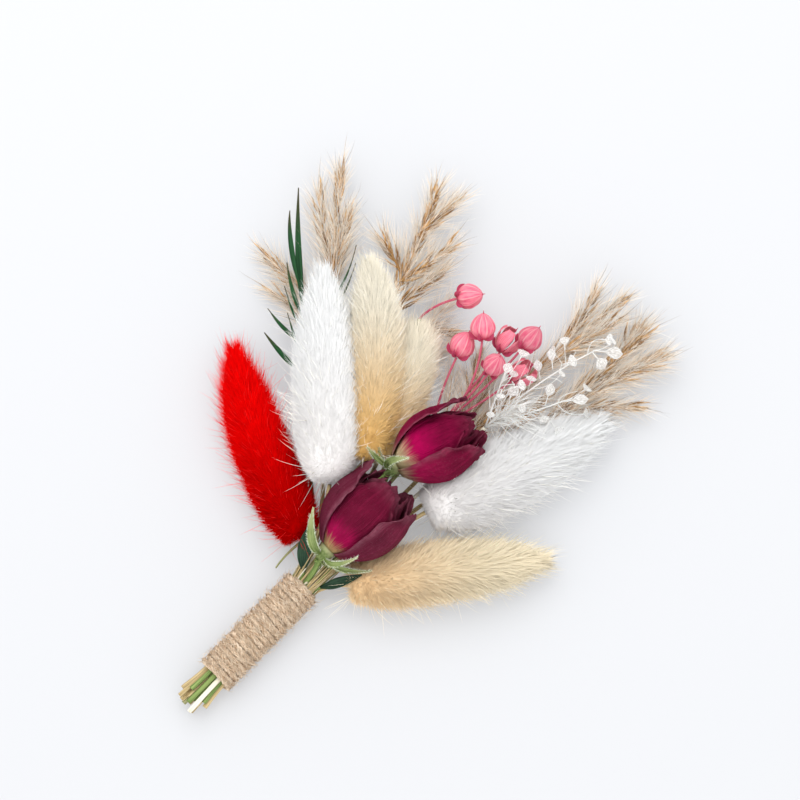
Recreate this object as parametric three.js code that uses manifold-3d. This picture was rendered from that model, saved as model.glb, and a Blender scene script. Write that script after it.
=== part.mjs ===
// A dried-flower boutonniere lying on its back: a bundle of stems bound with jute twine,
// fanning out into bunny-tail grass heads, reed plumes, two dried rosebuds, a spray of dyed
// flax pods, a bleached white spray and a few green blades.
//
// Millimetres. The origin is on the resting plane under the middle of the twine wrap.
// +Y runs along the handle towards the blooms, +X to the right seen from above, +Z up.

import * as THREE from "three";
import { mergeVertices } from "three/addons/utils/BufferGeometryUtils.js";
import Module from "manifold-3d";

const wasm = await Module();
wasm.setup();

// Driving dimensions of the handle.
const TWINE_DIAMETER = 1.3;
const TWINE_PITCH = 1.4;
const TWINE_TURNS = 22;
const HANDLE_LENGTH = TWINE_TURNS * TWINE_PITCH + TWINE_DIAMETER;
const STEPS_PER_TURN = 9;
const CORD_SIDES = 5;
const BUNDLE_RADIUS = 3.7;
const REST_FLAT = 0.2; // how far the underside of each turn is pressed flat
const STEM_RADIUS = 0.6;
const THIN_STEM_RADIUS = 0.5;
const TWIG_TIP_RADIUS = 0.32;
const LEAF_THICKNESS = 0.6;
const FINE_STEM_RADIUS = 0.45;
const ROSE_STEM_RADIUS = 0.9;
const STEM_PITCH = 1.45;
const CUT_END_Y = -24;
const SEAT_GAP = 0.3; // between a head and the stem that carries it
const STEM_CLEARANCE = 0.35; // kept round a stem where it runs past a grass head
const BUD_CLEARANCE = 1.4; // kept round a bud, for its curled petal edges
const LOWEST = 0; // a lock that would reach a little below the table lies on it instead
const PRESSED = 0.9; // and how much below that may be

const WINDING_RADIUS = BUNDLE_RADIUS + TWINE_DIAMETER / 2;
const HANDLE_Z = BUNDLE_RADIUS + TWINE_DIAMETER - REST_FLAT;
const MOUTH_Y = HANDLE_LENGTH / 2;

// Dyed and dried colours.
const COLOUR = {
  jute: 0xb9966a,
  straw: 0xb39a66,
  greenStem: 0x6f8a4a,
  red: 0xd40000,
  white: 0xf0eeec,
  cream: 0xecd3a0,
  beige: 0xe2c690,
  reed: 0xb9986c,
  rose: 0x6e0f35,
  pink: 0xef6f8c,
  bleached: 0xf2f0ec,
  leaf: 0x2f7040,
  darkLeaf: 0x1f3a2c,
};

const at = (x, y, z) => new THREE.Vector3(x, y, z);
const UP = at(0, 0, 1);

// A repeatable draw between 0 and 1 for each whole number.
function draw(seed) {
  const s = Math.sin(seed * 12.9898 + 4.1414) * 43758.5453;
  return s - Math.floor(s);
}

const mix = THREE.MathUtils.lerp;
const ease = THREE.MathUtils.smoothstep;

// Solids and meshes.

const WELD_WITHIN = 1e-4;
const FINEST_DETAIL = 0.03; // shorter edges, left where solids are joined, are closed up

function solidOf(geometry) {
  const bare = geometry.clone();
  bare.deleteAttribute("normal");
  bare.deleteAttribute("uv");
  const merged = mergeVertices(bare, WELD_WITHIN);
  const mesh = new wasm.Mesh({
    numProp: 3,
    vertProperties: new Float32Array(merged.attributes.position.array),
    triVerts: new Uint32Array(merged.index.array),
  });
  return new wasm.Manifold(mesh);
}

// A solid from its corners and its triangles, which face outwards.
function solidFrom(points, triangles) {
  const geometry = new THREE.BufferGeometry().setFromPoints(points);
  geometry.setIndex(triangles);
  return solidOf(geometry);
}

const joined = (solids) => solids.reduce((whole, next) => whole.add(next));

function largestBody(solid) {
  const bodies = solid.decompose();
  return bodies.reduce((a, b) => (a.volume() > b.volume() ? a : b));
}

function namedMesh(name, solid, colour, roughness = 0.8) {
  const made = largestBody(solid.simplify(FINEST_DETAIL)).getMesh();
  const count = made.numProp;
  const points = [];
  for (let i = 0; i < made.vertProperties.length; i += count) {
    points.push(at(...made.vertProperties.subarray(i, i + 3)));
  }
  const geometry = new THREE.BufferGeometry().setFromPoints(points);
  geometry.setIndex(new THREE.BufferAttribute(made.triVerts, 1));
  geometry.computeVertexNormals();
  const material = new THREE.MeshStandardMaterial({ color: colour, roughness, metalness: 0 });
  const mesh = new THREE.Mesh(geometry, material);
  mesh.name = name;
  return mesh;
}

const evenly = (steps) => Array.from({ length: steps + 1 }, (_, i) => i / steps);

// A solid skinned over rings of points, closed by a point at each end. Each ring runs
// clockwise as seen from the start. alternate picks the quads that are split the other way.
function skin(rings, start, end, alternate = () => false) {
  const sides = rings[0].length;
  const last = rings.length - 1;
  const index = (i, j) => i * sides + (j % sides);
  const points = [...rings.flat(), start, end];
  const [first, final] = [points.length - 2, points.length - 1];
  const triangles = [];
  for (let i = 0; i < last; i++) {
    for (let j = 0; j < sides; j++) {
      const [a, b, c, d] = [index(i, j), index(i, j + 1), index(i + 1, j + 1), index(i + 1, j)];
      if (alternate(i, j)) triangles.push(a, d, b, b, d, c);
      else triangles.push(a, c, b, a, d, c);
    }
  }
  for (let j = 0; j < sides; j++) {
    triangles.push(first, index(0, j), index(0, j + 1));
    triangles.push(final, index(last, j + 1), index(last, j));
  }
  return solidFrom(points, triangles);
}

// The directions across and over a path at t.
function frameAt(path, t) {
  const along = path.getTangent(t);
  const across = along.clone().cross(UP).normalize();
  const over = across.clone().cross(along).normalize();
  return { centre: path.getPoint(t), along, across, over };
}

const turnOf = (j, sides) => (2 * Math.PI * j) / sides;

// Rings of a flattened section along a path. halfWidth and halfHeight give its size at t from
// 0 to 1, and lift draws each corner in or out.
function loft({ path, stations, sides, halfWidth, halfHeight = halfWidth, lift = () => 0 }) {
  const rings = stations.map((t) => {
    const { centre, across, over } = frameAt(path, t);
    return Array.from({ length: sides }, (_, j) => {
      const a = turnOf(j, sides);
      const raised = lift(t, j);
      return centre
        .clone()
        .addScaledVector(across, Math.cos(a) * (halfWidth(t) + raised))
        .addScaledVector(over, Math.sin(a) * (halfHeight(t) + raised));
    });
  });
  return skin(rings, path.getPoint(0), path.getPoint(1));
}

const through = (...points) => new THREE.CatmullRomCurve3(points, false, "centripetal");
const bowed = (a, control, b) => new THREE.QuadraticBezierCurve3(a, control, b);
const straight = (a, b) => new THREE.LineCurve3(a, b);

// A slim twig along a path that narrows from one radius to another.
function twig(path, startRadius, endRadius, steps = 4) {
  const halfWidth = (t) => mix(startRadius, endRadius, t);
  return loft({ path, stations: evenly(steps), sides: 4, halfWidth });
}

// A flat pointed blade, widest at the given share of its length.
function blade(path, width, thickness, widest = 0.4, steps = 5) {
  const [tipShare, thinShare] = [0.08, 0.5];
  const share = (t) => {
    const s = t < widest ? t / widest : (1 - t) / (1 - widest);
    return Math.max(tipShare, Math.sin((Math.PI / 2) * Math.min(1, s)));
  };
  const halfWidth = (t) => (width / 2) * share(t);
  const halfHeight = (t) => (thickness / 2) * Math.max(thinShare, share(t));
  return loft({ path, stations: evenly(steps), sides: 4, halfWidth, halfHeight });
}

const LOCK_SIZES = [0.82, 1.12]; // the smallest and the largest, in shares of the size asked for

// A tuft-covered spike round an axis: a net of knots, every other one of which is drawn out
// into a lock that leans towards the tip. radius, out and forward are functions of t, and
// the rounded end at the root reaches back by heel.
function spike({ axis, rings, columns, radius, out, forward, heel, room, seed }) {
  const isLock = (i, j) => (i + j) % 2 === 0;
  const net = evenly(rings).map((t, i) => {
    const { centre, along, across, over } = frameAt(axis, t);
    return Array.from({ length: columns }, (_, j) => {
      const a = turnOf(j, columns);
      const outward = across.clone().multiplyScalar(Math.cos(a)).addScaledVector(over, Math.sin(a));
      const knot = centre.clone().addScaledVector(outward, radius(t));
      if (isLock(i, j)) {
        const size = mix(...LOCK_SIZES, draw(seed * 997 + i * 31 + j));
        const reach = outward.multiplyScalar(out(t) * size).addScaledVector(along, forward(t) * size);
        knot.addScaledVector(reach, room(knot, reach));
      }
      knot.z = Math.max(knot.z, LOWEST);
      return knot;
    });
  });
  const start = axis.getPoint(0).addScaledVector(axis.getTangent(0), -heel);
  const end = axis.getPoint(1).addScaledVector(axis.getTangent(1), forward(1));
  return skin(net, start, end, isLock);
}

// The largest share of its reach that a lock may take and still end on free ground.
function roomBy(isFree) {
  const shares = [1, 0.85, 0.7, 0.55, 0.4, 0.25, 0.12];
  const stub = 0.03;
  return (knot, reach) => {
    const free = (share) => isFree(knot.clone().addScaledVector(reach, share));
    return shares.find((share) => free(share) && free(share / 2)) ?? stub;
  };
}

// The floor that the bunch lies on trims whatever would reach below it.
const BELOW_FLOOR = solidOf(new THREE.BoxGeometry(400, 400, 40).translate(0, 0, -20));

// The twine wrap.

function twineWrap() {
  const rings = [];
  const half = (TWINE_TURNS * STEPS_PER_TURN) / 2;
  const rise = TWINE_PITCH / (2 * Math.PI); // along the handle, for each radian of turning
  for (let i = -half; i <= half; i++) {
    const turned = (2 * Math.PI * i) / STEPS_PER_TURN - Math.PI / 2;
    const radial = at(Math.cos(turned), 0, Math.sin(turned));
    const along = at(-WINDING_RADIUS * Math.sin(turned), rise, WINDING_RADIUS * Math.cos(turned));
    const sideways = radial.clone().cross(along.normalize());
    const y = (TWINE_PITCH * i) / STEPS_PER_TURN;
    const centre = at(0, y, HANDLE_Z).addScaledVector(radial, WINDING_RADIUS);
    const corner = (_, j) =>
      centre
        .clone()
        .addScaledVector(radial, (Math.cos(turnOf(j, CORD_SIDES)) * TWINE_DIAMETER) / 2)
        .addScaledVector(sideways, (Math.sin(turnOf(j, CORD_SIDES)) * TWINE_DIAMETER) / 2);
    rings.push(Array.from({ length: CORD_SIDES }, corner));
  }
  const sumOf = (ring) => ring.reduce((sum, point) => sum.add(point), at(0, 0, 0));
  const middleOf = (ring) => sumOf(ring).divideScalar(CORD_SIDES);
  return skin(rings, middleOf(rings[0]), middleOf(rings.at(-1))).subtract(BELOW_FLOOR);
}

// The stems. Each has a cell of its own in the bundle: rows are stacked from the table up.

const ROW_RISE = (STEM_PITCH * Math.sqrt(3)) / 2;
const MIDDLE_ROW = 3;

function cell(row, x) {
  return { x: x * STEM_PITCH, z: HANDLE_Z + (row - MIDDLE_ROW) * ROW_RISE };
}

// How far the cut ends stand apart, against their places in the wrap.
const SPLAY_ACROSS = 1.25;
const SPLAY_UP = 1.1;

// Points of a route inside the wrap, as shares of the way from its middle to its mouth.
const HELD_AT = [-1, 0, 0.8, 1];
const RINGS_PER_SPAN = 2;

// The route of a stem: from its cut end, straight through the wrap, then by hand to its head.
function stemRoute(place, cutBack, ...rest) {
  const inBundle = (y) => at(place.x, y, place.z);
  const endZ = HANDLE_Z + (place.z - HANDLE_Z) * SPLAY_UP;
  const end = at(place.x * SPLAY_ACROSS, CUT_END_Y + cutBack, endZ);
  const held = HELD_AT.map((share) => inBundle(share * MOUTH_Y));
  return through(end, ...held, ...rest);
}

const itemRoute = (item) => stemRoute(item.cell, item.cutBack, ...item.via, item.end);

// A stem along its route, of one radius in the wrap and narrowing or widening past it.
function stem(route, startRadius = STEM_RADIUS, endRadius = STEM_RADIUS) {
  const spans = route.points.length - 1;
  const held = HELD_AT.length;
  const stations = evenly(spans).slice(0, held);
  const free = (spans - held) * RINGS_PER_SPAN;
  for (let i = 0; i <= free; i++) stations.push((held + i / RINGS_PER_SPAN) / spans);
  const halfWidth = (t) => mix(startRadius, endRadius, Math.max(0, t * spans - held) / (spans - held));
  return loft({ path: route, stations, sides: 6, halfWidth });
}

// The point a little short of a head's base, seen along the way that the head points.
function seat(base, towards, gap = SEAT_GAP) {
  return base.clone().addScaledVector(towards.clone().sub(base).normalize(), -gap);
}

// Bunny-tail grass: dense oval heads of hair.

const TAIL_RINGS = 24;
const TAIL_COLUMNS = 12;
const TAIL_HEEL = 0.7;
const APART = 0.1; // how much nearer a lock stays to its own head than to the next, in shares

const TAILS = [
  {
    name: "red_tail",
    colour: COLOUR.red,
    base: at(-9.4, 23.8, 6.6),
    bow: at(-34, 31.6, 6.9),
    tip: at(-53, 45.2, 6.4),
    core: 4.5,
    lock: 2.7,
    cell: cell(3, -2),
    cutBack: 1.0,
    via: [at(-4.6, 20.4, 5.0)],
  },
  {
    name: "white_tail_left",
    colour: COLOUR.white,
    base: at(-13.2, 38.6, 13),
    bow: at(-31.4, 57, 15.5),
    tip: at(-50.4, 73.8, 12.5),
    core: 5.3,
    lock: 2.9,
    cell: cell(4, -1.5),
    cutBack: -0.8,
    via: [at(-4.4, 23, 7.4), at(-8.4, 31.4, 10)],
  },
  {
    name: "cream_tail_upper",
    colour: COLOUR.cream,
    base: at(-11.0, 48.8, 13.6),
    bow: at(-28.4, 73.4, 15.8),
    tip: at(-43.4, 83.4, 13.0),
    core: 4.2,
    lock: 2.6,
    cell: cell(4, -0.5),
    cutBack: 0.6,
    via: [at(-2.9, 24, 6.9), at(-8.2, 36.6, 6.8), at(-10.4, 43.6, 9.6)],
  },
  {
    name: "cream_tail_lower",
    colour: COLOUR.cream,
    base: at(-8.6, 50.8, 7.6),
    bow: at(-18.6, 73.0, 8.0),
    tip: at(-24.2, 80.6, 9.0),
    core: 4.1,
    lock: 2.4,
    cell: cell(3, -1),
    cutBack: -1.2,
    via: [at(-2.6, 28, 5.4), at(-5.4, 40, 6)],
  },
  {
    name: "white_tail_right",
    colour: COLOUR.white,
    base: at(9.2, 50.6, 8.2),
    bow: at(17.6, 72, 7.8),
    tip: at(24.4, 95.6, 7.2),
    core: 5.3,
    lock: 2.9,
    cell: cell(3, 1),
    cutBack: 0.2,
    via: [at(3.6, 26, 5.0), at(6.3, 40, 6.2)],
  },
  {
    name: "beige_tail",
    colour: COLOUR.beige,
    base: at(8.2, 24.4, 6),
    bow: at(23, 44, 8.4),
    tip: at(37.8, 61.6, 6.6),
    core: 4.9,
    lock: 2.8,
    cell: cell(3, 2),
    cutBack: 1.4,
    via: [at(4.6, 20, 5.1)],
  },
];

// How full a head is at t, from its rounded base to its narrow tip.
function tailFullness(t) {
  const widest = 0.24;
  if (t < widest) return Math.sqrt(1 - 0.72 * Math.pow(1 - t / widest, 2));
  const onward = Math.pow((t - widest) / (1 - widest), 1.35);
  return Math.max(0.16, Math.pow(Math.cos((Math.PI / 2) * onward), 0.75));
}

const tailAxis = (tail) => bowed(tail.base, tail.bow, tail.tip);

// How far a point is from a head's axis, in shares of the head's reach there.
function nearTail(tail, point) {
  const axis = tailAxis(tail);
  const distances = evenly(TAIL_RINGS).map((t) => {
    const reach = Math.max(1, (tail.core + tail.lock) * tailFullness(t));
    return axis.getPoint(t).distanceTo(point) / reach;
  });
  return Math.min(...distances);
}

// Whether a point stands clear of every stem and bud in its way.
function isClear(point, obstacles) {
  return obstacles.every(({ samples, reach }) =>
    samples.every((place, i) => place.distanceTo(point) > reach(i / (samples.length - 1))),
  );
}

// A lock stays on its own side of every other head, above the table and clear of the stems.
function tailHead(tail, obstacles, seed) {
  const isFree = (tip) => {
    const own = nearTail(tail, tip);
    const others = TAILS.filter((other) => other !== tail);
    const apart = others.every((other) => nearTail(other, tip) > own + APART);
    return apart && tip.z > LOWEST - PRESSED && isClear(tip, obstacles);
  };
  return spike({
    axis: tailAxis(tail),
    rings: TAIL_RINGS,
    columns: TAIL_COLUMNS,
    radius: (t) => Math.max(0.7, tail.core * tailFullness(t)),
    out: (t) => tail.lock * mix(0.75, 1, ease(t, 0, 0.25)) * mix(1, 0.55, ease(t, 0.7, 1)),
    forward: (t) => tail.lock * mix(0.75, 1.5, t),
    heel: TAIL_HEEL,
    room: roomBy(isFree),
    seed,
  });
}

function tailRoute(tail) {
  const base = tail.base.clone().addScaledVector(tailAxis(tail).getTangent(0), -TAIL_HEEL);
  return stemRoute(tail.cell, tail.cutBack, ...tail.via, seat(base, tail.bow));
}

// The rosebuds. A bud is a closed heart in two rings of petals, each petal lapping the next.

const ROSES = [
  {
    name: "rose_front",
    base: at(-1.4, 26.2, 14.8),
    tip: at(1.4, 49.6, 19.4),
    radius: 10.4,
    turn: 0,
    cell: cell(5, 0),
    cutBack: -0.4,
    via: [at(-0.4, 19.6, 9.6)],
    sepals: [
      [at(-4.6, 22.4, 20.4), at(-10.8, 30.7, 22.6), 3.0],
      [at(3.2, 22.0, 18.8), at(5.4, 29.6, 23.6), 2.4],
      [at(4.6, 23.0, 13.2), at(9.7, 30.0, 13.8), 2.2],
    ],
  },
  {
    name: "rose_back",
    base: at(-4.0, 52.6, 14.8),
    tip: at(3.2, 74.2, 18.8),
    radius: 8.9,
    turn: 17,
    cell: cell(4, 0.5),
    cutBack: 0.8,
    via: [at(0.6, 29, 5.7), at(-1.7, 41, 5.5), at(-3.8, 48.4, 8.2)],
    sepals: [
      [at(-8.0, 50.4, 17.2), at(-12.0, 50.6, 19.6), 2.2],
      [at(-6.8, 50.4, 20.0), at(-2.6, 55.4, 25.0), 2.8],
      [at(-8.4, 50.4, 14.6), at(-9.8, 52.8, 17.4), 2.0],
    ],
  },
];

const PETAL_THICKNESS = 0.65;

// The petals of a bud, outermost last. Angles are in degrees round the bud, and -90 faces up.
// A petal with a small inset lies over its neighbours; its edges curl outwards by edge.
const PETALS = [
  { angle: 40, halfAngle: 62, height: 0.99, inset: 2.5, edge: 0.3, flare: -0.8, fine: false },
  { angle: 160, halfAngle: 62, height: 1, inset: 2.5, edge: 0.3, flare: -0.8, fine: false },
  { angle: 280, halfAngle: 62, height: 0.98, inset: 2.5, edge: 0.3, flare: -0.8, fine: false },
  { angle: -90, halfAngle: 50, height: 0.96, inset: 1.3, edge: 0.1, flare: 0.3, fine: true },
  { angle: 62, halfAngle: 44, height: 1, inset: 1.3, edge: 0.1, flare: 0.6, fine: false },
  { angle: 132, halfAngle: 40, height: 0.93, inset: 1.3, edge: 0.1, flare: 0.1, fine: false },
  { angle: -163, halfAngle: 43, height: 1, inset: 0, edge: 0.9, flare: 0.6, fine: true },
  { angle: -12, halfAngle: 47, height: 0.95, inset: 0, edge: 0.9, flare: 0.2, fine: true },
  { angle: 96, halfAngle: 38, height: 0.9, inset: 0, edge: 0.9, flare: 0.8, fine: false },
];

// The bud's radius at height h, in shares of its widest and of its height.
const budProfile = (h) => 0.28 + 3.3 * h - 4.55 * h * h + 1.64 * h * h * h;

// A petal's middle surface, across u from -1 to 1 and up v from 0 to 1, with +Z along the bud.
function petalPoint({ angle, halfAngle, height, inset, edge, flare }, radius, u, v) {
  const h = height * v * (1 - 0.2 * u * u * v * v);
  const spread = halfAngle * mix(0.5, 1, ease(v, 0, 0.45)) * mix(1, 0.7, ease(v, 0.7, 1));
  const a = THREE.MathUtils.degToRad(angle + spread * u);
  const ripple = 0.2 * Math.sin(2.6 * u * Math.PI + angle) * v * v;
  const curl = edge * u * u * ease(v, 0.15, 0.5) + flare * ease(v, 0.75, 1);
  return [a, Math.max(0.6, radius * budProfile(h) - inset + curl + ripple), h];
}

function petal(shape, radius, length) {
  const across = shape.fine ? 4 : 3;
  const upward = shape.fine ? 4 : 2;
  const points = [];
  for (const offset of [PETAL_THICKNESS / 2, -PETAL_THICKNESS / 2]) {
    for (let i = 0; i <= upward; i++) {
      for (let j = 0; j <= across; j++) {
        const [a, r, h] = petalPoint(shape, radius, (2 * j) / across - 1, i / upward);
        points.push(at(Math.cos(a) * (r + offset), Math.sin(a) * (r + offset), h * length));
      }
    }
  }
  const row = across + 1;
  const back = row * (upward + 1);
  const triangles = [];
  const quad = (a, b, c, d) => triangles.push(a, b, c, a, c, d);
  for (let i = 0; i < upward; i++) {
    for (let j = 0; j < across; j++) {
      const a = i * row + j;
      quad(a, a + 1, a + 1 + row, a + row);
      quad(back + a + row, back + a + 1 + row, back + a + 1, back + a);
    }
    const [left, right] = [i * row, i * row + across];
    quad(left, left + row, back + left + row, back + left);
    quad(right + row, right, back + right, back + right + row);
  }
  for (let j = 0; j < across; j++) {
    const top = upward * row + j;
    quad(j + 1, j, back + j, back + j + 1);
    quad(top, top + 1, back + top + 1, back + top);
  }
  return solidFrom(points, triangles);
}

// The closed heart that the petals stand round. Its foot reaches out to hold all of them.
function budHeart(radius, length) {
  const profile = [new THREE.Vector2(0, 0)];
  for (const h of [0.03, 0.12, 0.3, 0.55, 0.8]) {
    const inset = mix(0.1, 3.1, ease(h, 0, 0.3));
    profile.push(new THREE.Vector2(Math.max(0.8, radius * budProfile(h) - inset), h * length));
  }
  profile.push(new THREE.Vector2(radius * 0.3, 0.92 * length), new THREE.Vector2(0, 0.88 * length));
  return solidOf(new THREE.LatheGeometry(profile, 7).rotateX(Math.PI / 2));
}

function placeAlong(solid, base, tip) {
  const along = tip.clone().sub(base).normalize();
  const turned = new THREE.Quaternion().setFromUnitVectors(UP, along);
  const matrix = new THREE.Matrix4().compose(base, turned, at(1, 1, 1));
  return solid.transform(matrix.elements);
}

function rosePetals(rose) {
  const length = rose.tip.distanceTo(rose.base);
  const petals = PETALS.map((shape) => {
    const turned = { ...shape, angle: shape.angle + rose.turn };
    return petal(turned, rose.radius, length);
  });
  const bud = joined([budHeart(rose.radius, length), ...petals]);
  return placeAlong(bud, rose.base, rose.tip);
}

const HIP_LENGTH = 3.2;
const HIP_RADIUS = 2.1;
const SEPAL_THICKNESS = 0.7;

// The green part of a rose: its stem, the hip under the bud and the sepals round it.
function roseGreen(rose) {
  const along = rose.tip.clone().sub(rose.base).normalize();
  const hipTop = rose.base.clone().addScaledVector(along, -SEAT_GAP);
  const hipFoot = hipTop.clone().addScaledVector(along, -HIP_LENGTH);
  const hip = loft({
    path: straight(hipFoot, hipTop),
    stations: evenly(4),
    sides: 7,
    halfWidth: (t) => mix(ROSE_STEM_RADIUS, HIP_RADIUS, Math.sin((Math.PI / 2) * t)),
  });
  const insideHip = (share) => hipFoot.clone().lerp(hipTop, share);
  const route = stemRoute(rose.cell, rose.cutBack, ...rose.via, insideHip(0.3));
  const sepals = rose.sepals.map(([elbow, tip, width]) =>
    blade(bowed(insideHip(0.5), elbow, tip), width, SEPAL_THICKNESS, 0.55),
  );
  return joined([hip, stem(route, STEM_RADIUS, ROSE_STEM_RADIUS), ...sepals]);
}

// The flax: round ribbed pods with a pointed tip, each on a thread of its own.

const POD_RADIUS = 3.3;
const POD_SIDES = 10; // every other one is a groove
const GROOVE_DEPTH = 0.07; // in shares of the radius
const THREAD_RADIUS = 0.45;

function pod(centre, away, seed) {
  const along = away.clone().normalize();
  const size = POD_RADIUS * mix(0.92, 1.06, draw(seed));
  const foot = centre.clone().addScaledVector(along, -size);
  const tip = centre.clone().addScaledVector(along, size * 1.28);
  const belly = (t) => Math.max(0.12, Math.pow(Math.sin(Math.PI * Math.pow(t, 0.86)), 0.75));
  return loft({
    path: straight(foot, tip),
    stations: evenly(4),
    sides: POD_SIDES,
    halfWidth: (t) => size * belly(mix(0.02, 0.98, t)),
    lift: (t, j) => (j % 2 === 0 ? -GROOVE_DEPTH * size * belly(t) : 0),
  });
}

const FLAX_SPRAYS = [
  {
    name: "flax_spray",
    cell: cell(3, 0),
    cutBack: 1.8,
    via: [at(-0.8, 29, 4.3), at(-2.4, 43, 4.0), at(-3.3, 58, 4.2)],
    end: at(-4.2, 66, 4.6),
    pods: [
      [at(-12.6, 91.8, 15.6), at(-1.6, 80, 10)],
      [at(-13.4, 85.4, 11.8), at(-9.4, 72, 6.4)],
      [at(-6.0, 93.9, 12.6), at(-4.2, 80, 7.6)],
      [at(-2.4, 98.0, 15.2), at(-1.2, 82, 8.6)],
      [at(-4.1, 87.0, 16.6), at(-3.0, 78.6, 7.0)],
      [at(2.0, 90.6, 12.2), at(0.2, 80, 6.4)],
    ],
  },
  {
    name: "flax_stalk_left",
    cell: cell(2, -0.5),
    cutBack: -1.5,
    via: [at(-1.4, 26, 3.1), at(-4.6, 44, 2.4), at(-10, 60, 1.7), at(-20.4, 74, 1.9)],
    end: at(-26.2, 83.4, 5),
    pods: [[at(-20.8, 95.4, 11.6), at(-26.2, 89, 8)]],
  },
];

function flax(spray) {
  const parts = [stem(itemRoute(spray), STEM_RADIUS, THIN_STEM_RADIUS)];
  spray.pods.forEach(([centre, elbow], k) => {
    const thread = bowed(spray.end, elbow, centre);
    parts.push(twig(thread, THREAD_RADIUS, 0.85 * THREAD_RADIUS, 3));
    parts.push(pod(centre, thread.getTangent(1), 40 + k));
  });
  return joined(parts);
}

// The bleached white spray: a thin forked stem with small oval leaflets.

const WHITE_SPRAY = {
  cell: cell(5, 1),
  cutBack: -2.0,
  via: [at(2.0, 26, 6.5), at(2.9, 40, 4.8), at(4.4, 54, 4.2), at(4.6, 66, 5.2)],
  end: at(4.7, 75, 8.4),
  twigs: [
    [at(5.6, 92, 15), at(11.2, 107.6, 15)],
    [at(9.6, 84, 13), at(15.2, 95, 12.6)],
    [at(1.6, 82, 17), at(-0.6, 87, 21.6)],
  ],
  leaflets: [
    [at(10.6, 106.8, 15), at(16.6, 111.2, 15.6), 2.6],
    [at(10.8, 106.4, 15), at(15.8, 105.6, 14.6), 2.8],
    [at(7.8, 99.0, 14.6), at(9.4, 102.2, 16.2), 2.6],
    [at(7.0, 96.4, 14.2), at(3.0, 99.6, 16.8), 1.8],
    [at(6.4, 92.6, 13.4), at(2.6, 95.0, 19.2), 1.8],
    [at(0.4, 85.4, 20), at(-1.4, 89.4, 22.6), 2.0],
    [at(2.6, 81.8, 14.6), at(4.2, 87.2, 17.6), 2.2],
    [at(13.6, 92.2, 12.4), at(18.2, 97.6, 13.6), 2.2],
    [at(11.6, 89, 12.2), at(9.2, 93.8, 15), 2.0],
  ],
};

function whiteSpray() {
  const parts = [stem(itemRoute(WHITE_SPRAY), STEM_RADIUS, THIN_STEM_RADIUS)];
  for (const [elbow, tip] of WHITE_SPRAY.twigs) {
    parts.push(twig(bowed(WHITE_SPRAY.end, elbow, tip), THIN_STEM_RADIUS, TWIG_TIP_RADIUS, 5));
  }
  for (const [root, tip, width] of WHITE_SPRAY.leaflets) {
    parts.push(blade(straight(root, tip), width, LEAF_THICKNESS, 0.62, 3));
  }
  return joined(parts);
}

// The reed plumes: a stalk with side branches, each a slim spike of pointed spikelets.

const BRANCH_RADIUS = 0.95;
const SPIKELET_OUT = 2.3;
const SPIKELET_FORWARD = 5.4;
const SPIKELET_SPACING = 4;
const SPIKELET_COLUMNS = 5;
const MAIN_FULLNESS = 1.25; // of the plume's middle, against its side branches
const PLUME_APART = 1.05; // how far a spikelet stays from a grass head, in shares of its reach

const PLUMES = [
  {
    name: "plume_left",
    cell: cell(1, -1),
    cutBack: 0.4,
    via: [at(-7, 28, 2.3), at(-22, 45.5, 2.0), at(-36, 61, 2.0)],
    end: at(-45.5, 71.4, 3.4),
    tip: at(-66.5, 95.8, 6.6),
    branches: [
      [at(-50.4, 77.2, 4.2), at(-66.4, 88.4, 5.6)],
      [at(-48.4, 74.8, 4.0), at(-56.6, 89.4, 6.4)],
      [at(-42.6, 68.4, 3.0), at(-65.4, 68.0, 2.6)],
      [at(-38.6, 64.2, 2.4), at(-56.6, 63.2, 2.2)],
    ],
  },
  {
    name: "plume_centre",
    cell: cell(1, 0),
    cutBack: -0.6,
    via: [at(-2.4, 25, 1.3), at(-14, 57, 1.9), at(-25.5, 71, 2.4)],
    end: at(-34.8, 83.4, 4),
    tip: at(-46.2, 110.4, 7),
    branches: [
      [at(-36.4, 86.4, 4.4), at(-33.4, 101.6, 8)],
      [at(-32.2, 80.4, 3.8), at(-30.0, 95.4, 7)],
      [at(-37.4, 88.4, 4.6), at(-46.4, 91.4, 6.4)],
      [at(-41.2, 97.4, 5.4), at(-40.4, 109.4, 8)],
      [at(-28.6, 76.6, 1.9), at(-18.2, 87.0, 2.0)],
    ],
  },
  {
    name: "plume_right_upper",
    cell: cell(2, 0.5),
    cutBack: 1.1,
    via: [at(1, 30, 3.3), at(1.6, 50, 2.8), at(1.6, 66, 2.8)],
    end: at(2.4, 78, 3.4),
    tip: at(7, 123.4, 8),
    branches: [
      [at(1.8, 71, 2.8), at(-8.8, 86.4, 4.6)],
      [at(4.0, 104, 6), at(0.8, 118.4, 8.6)],
      [at(3.4, 92, 4.8), at(8.6, 108.6, 7.2)],
      [at(4.0, 100, 6.2), at(9.4, 116, 9.6)],
    ],
  },
  {
    name: "plume_right_lower",
    cell: cell(1, 1),
    cutBack: -1.8,
    via: [at(3.4, 30, 2.0), at(7.4, 55, 1.2), at(10.8, 71, 1.1)],
    end: at(13.6, 84, 2.2),
    tip: at(16.6, 121, 7),
    branches: [
      [at(15.6, 93, 4), at(22.6, 118.6, 6.4)],
      [at(16.6, 104, 5), at(24.0, 117.8, 7.8)],
      [at(15.2, 91, 3.6), at(27.4, 105.4, 4.6)],
      [at(16.8, 106, 4.6), at(14.2, 119.6, 4.6)],
    ],
  },
];

// How far the spikelets stand out along a branch, which ends in a point.
const swell = (t) => mix(0.35, 1, ease(t, 0, 0.4)) * mix(1, 0.1, ease(t, 0.6, 1));

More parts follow.
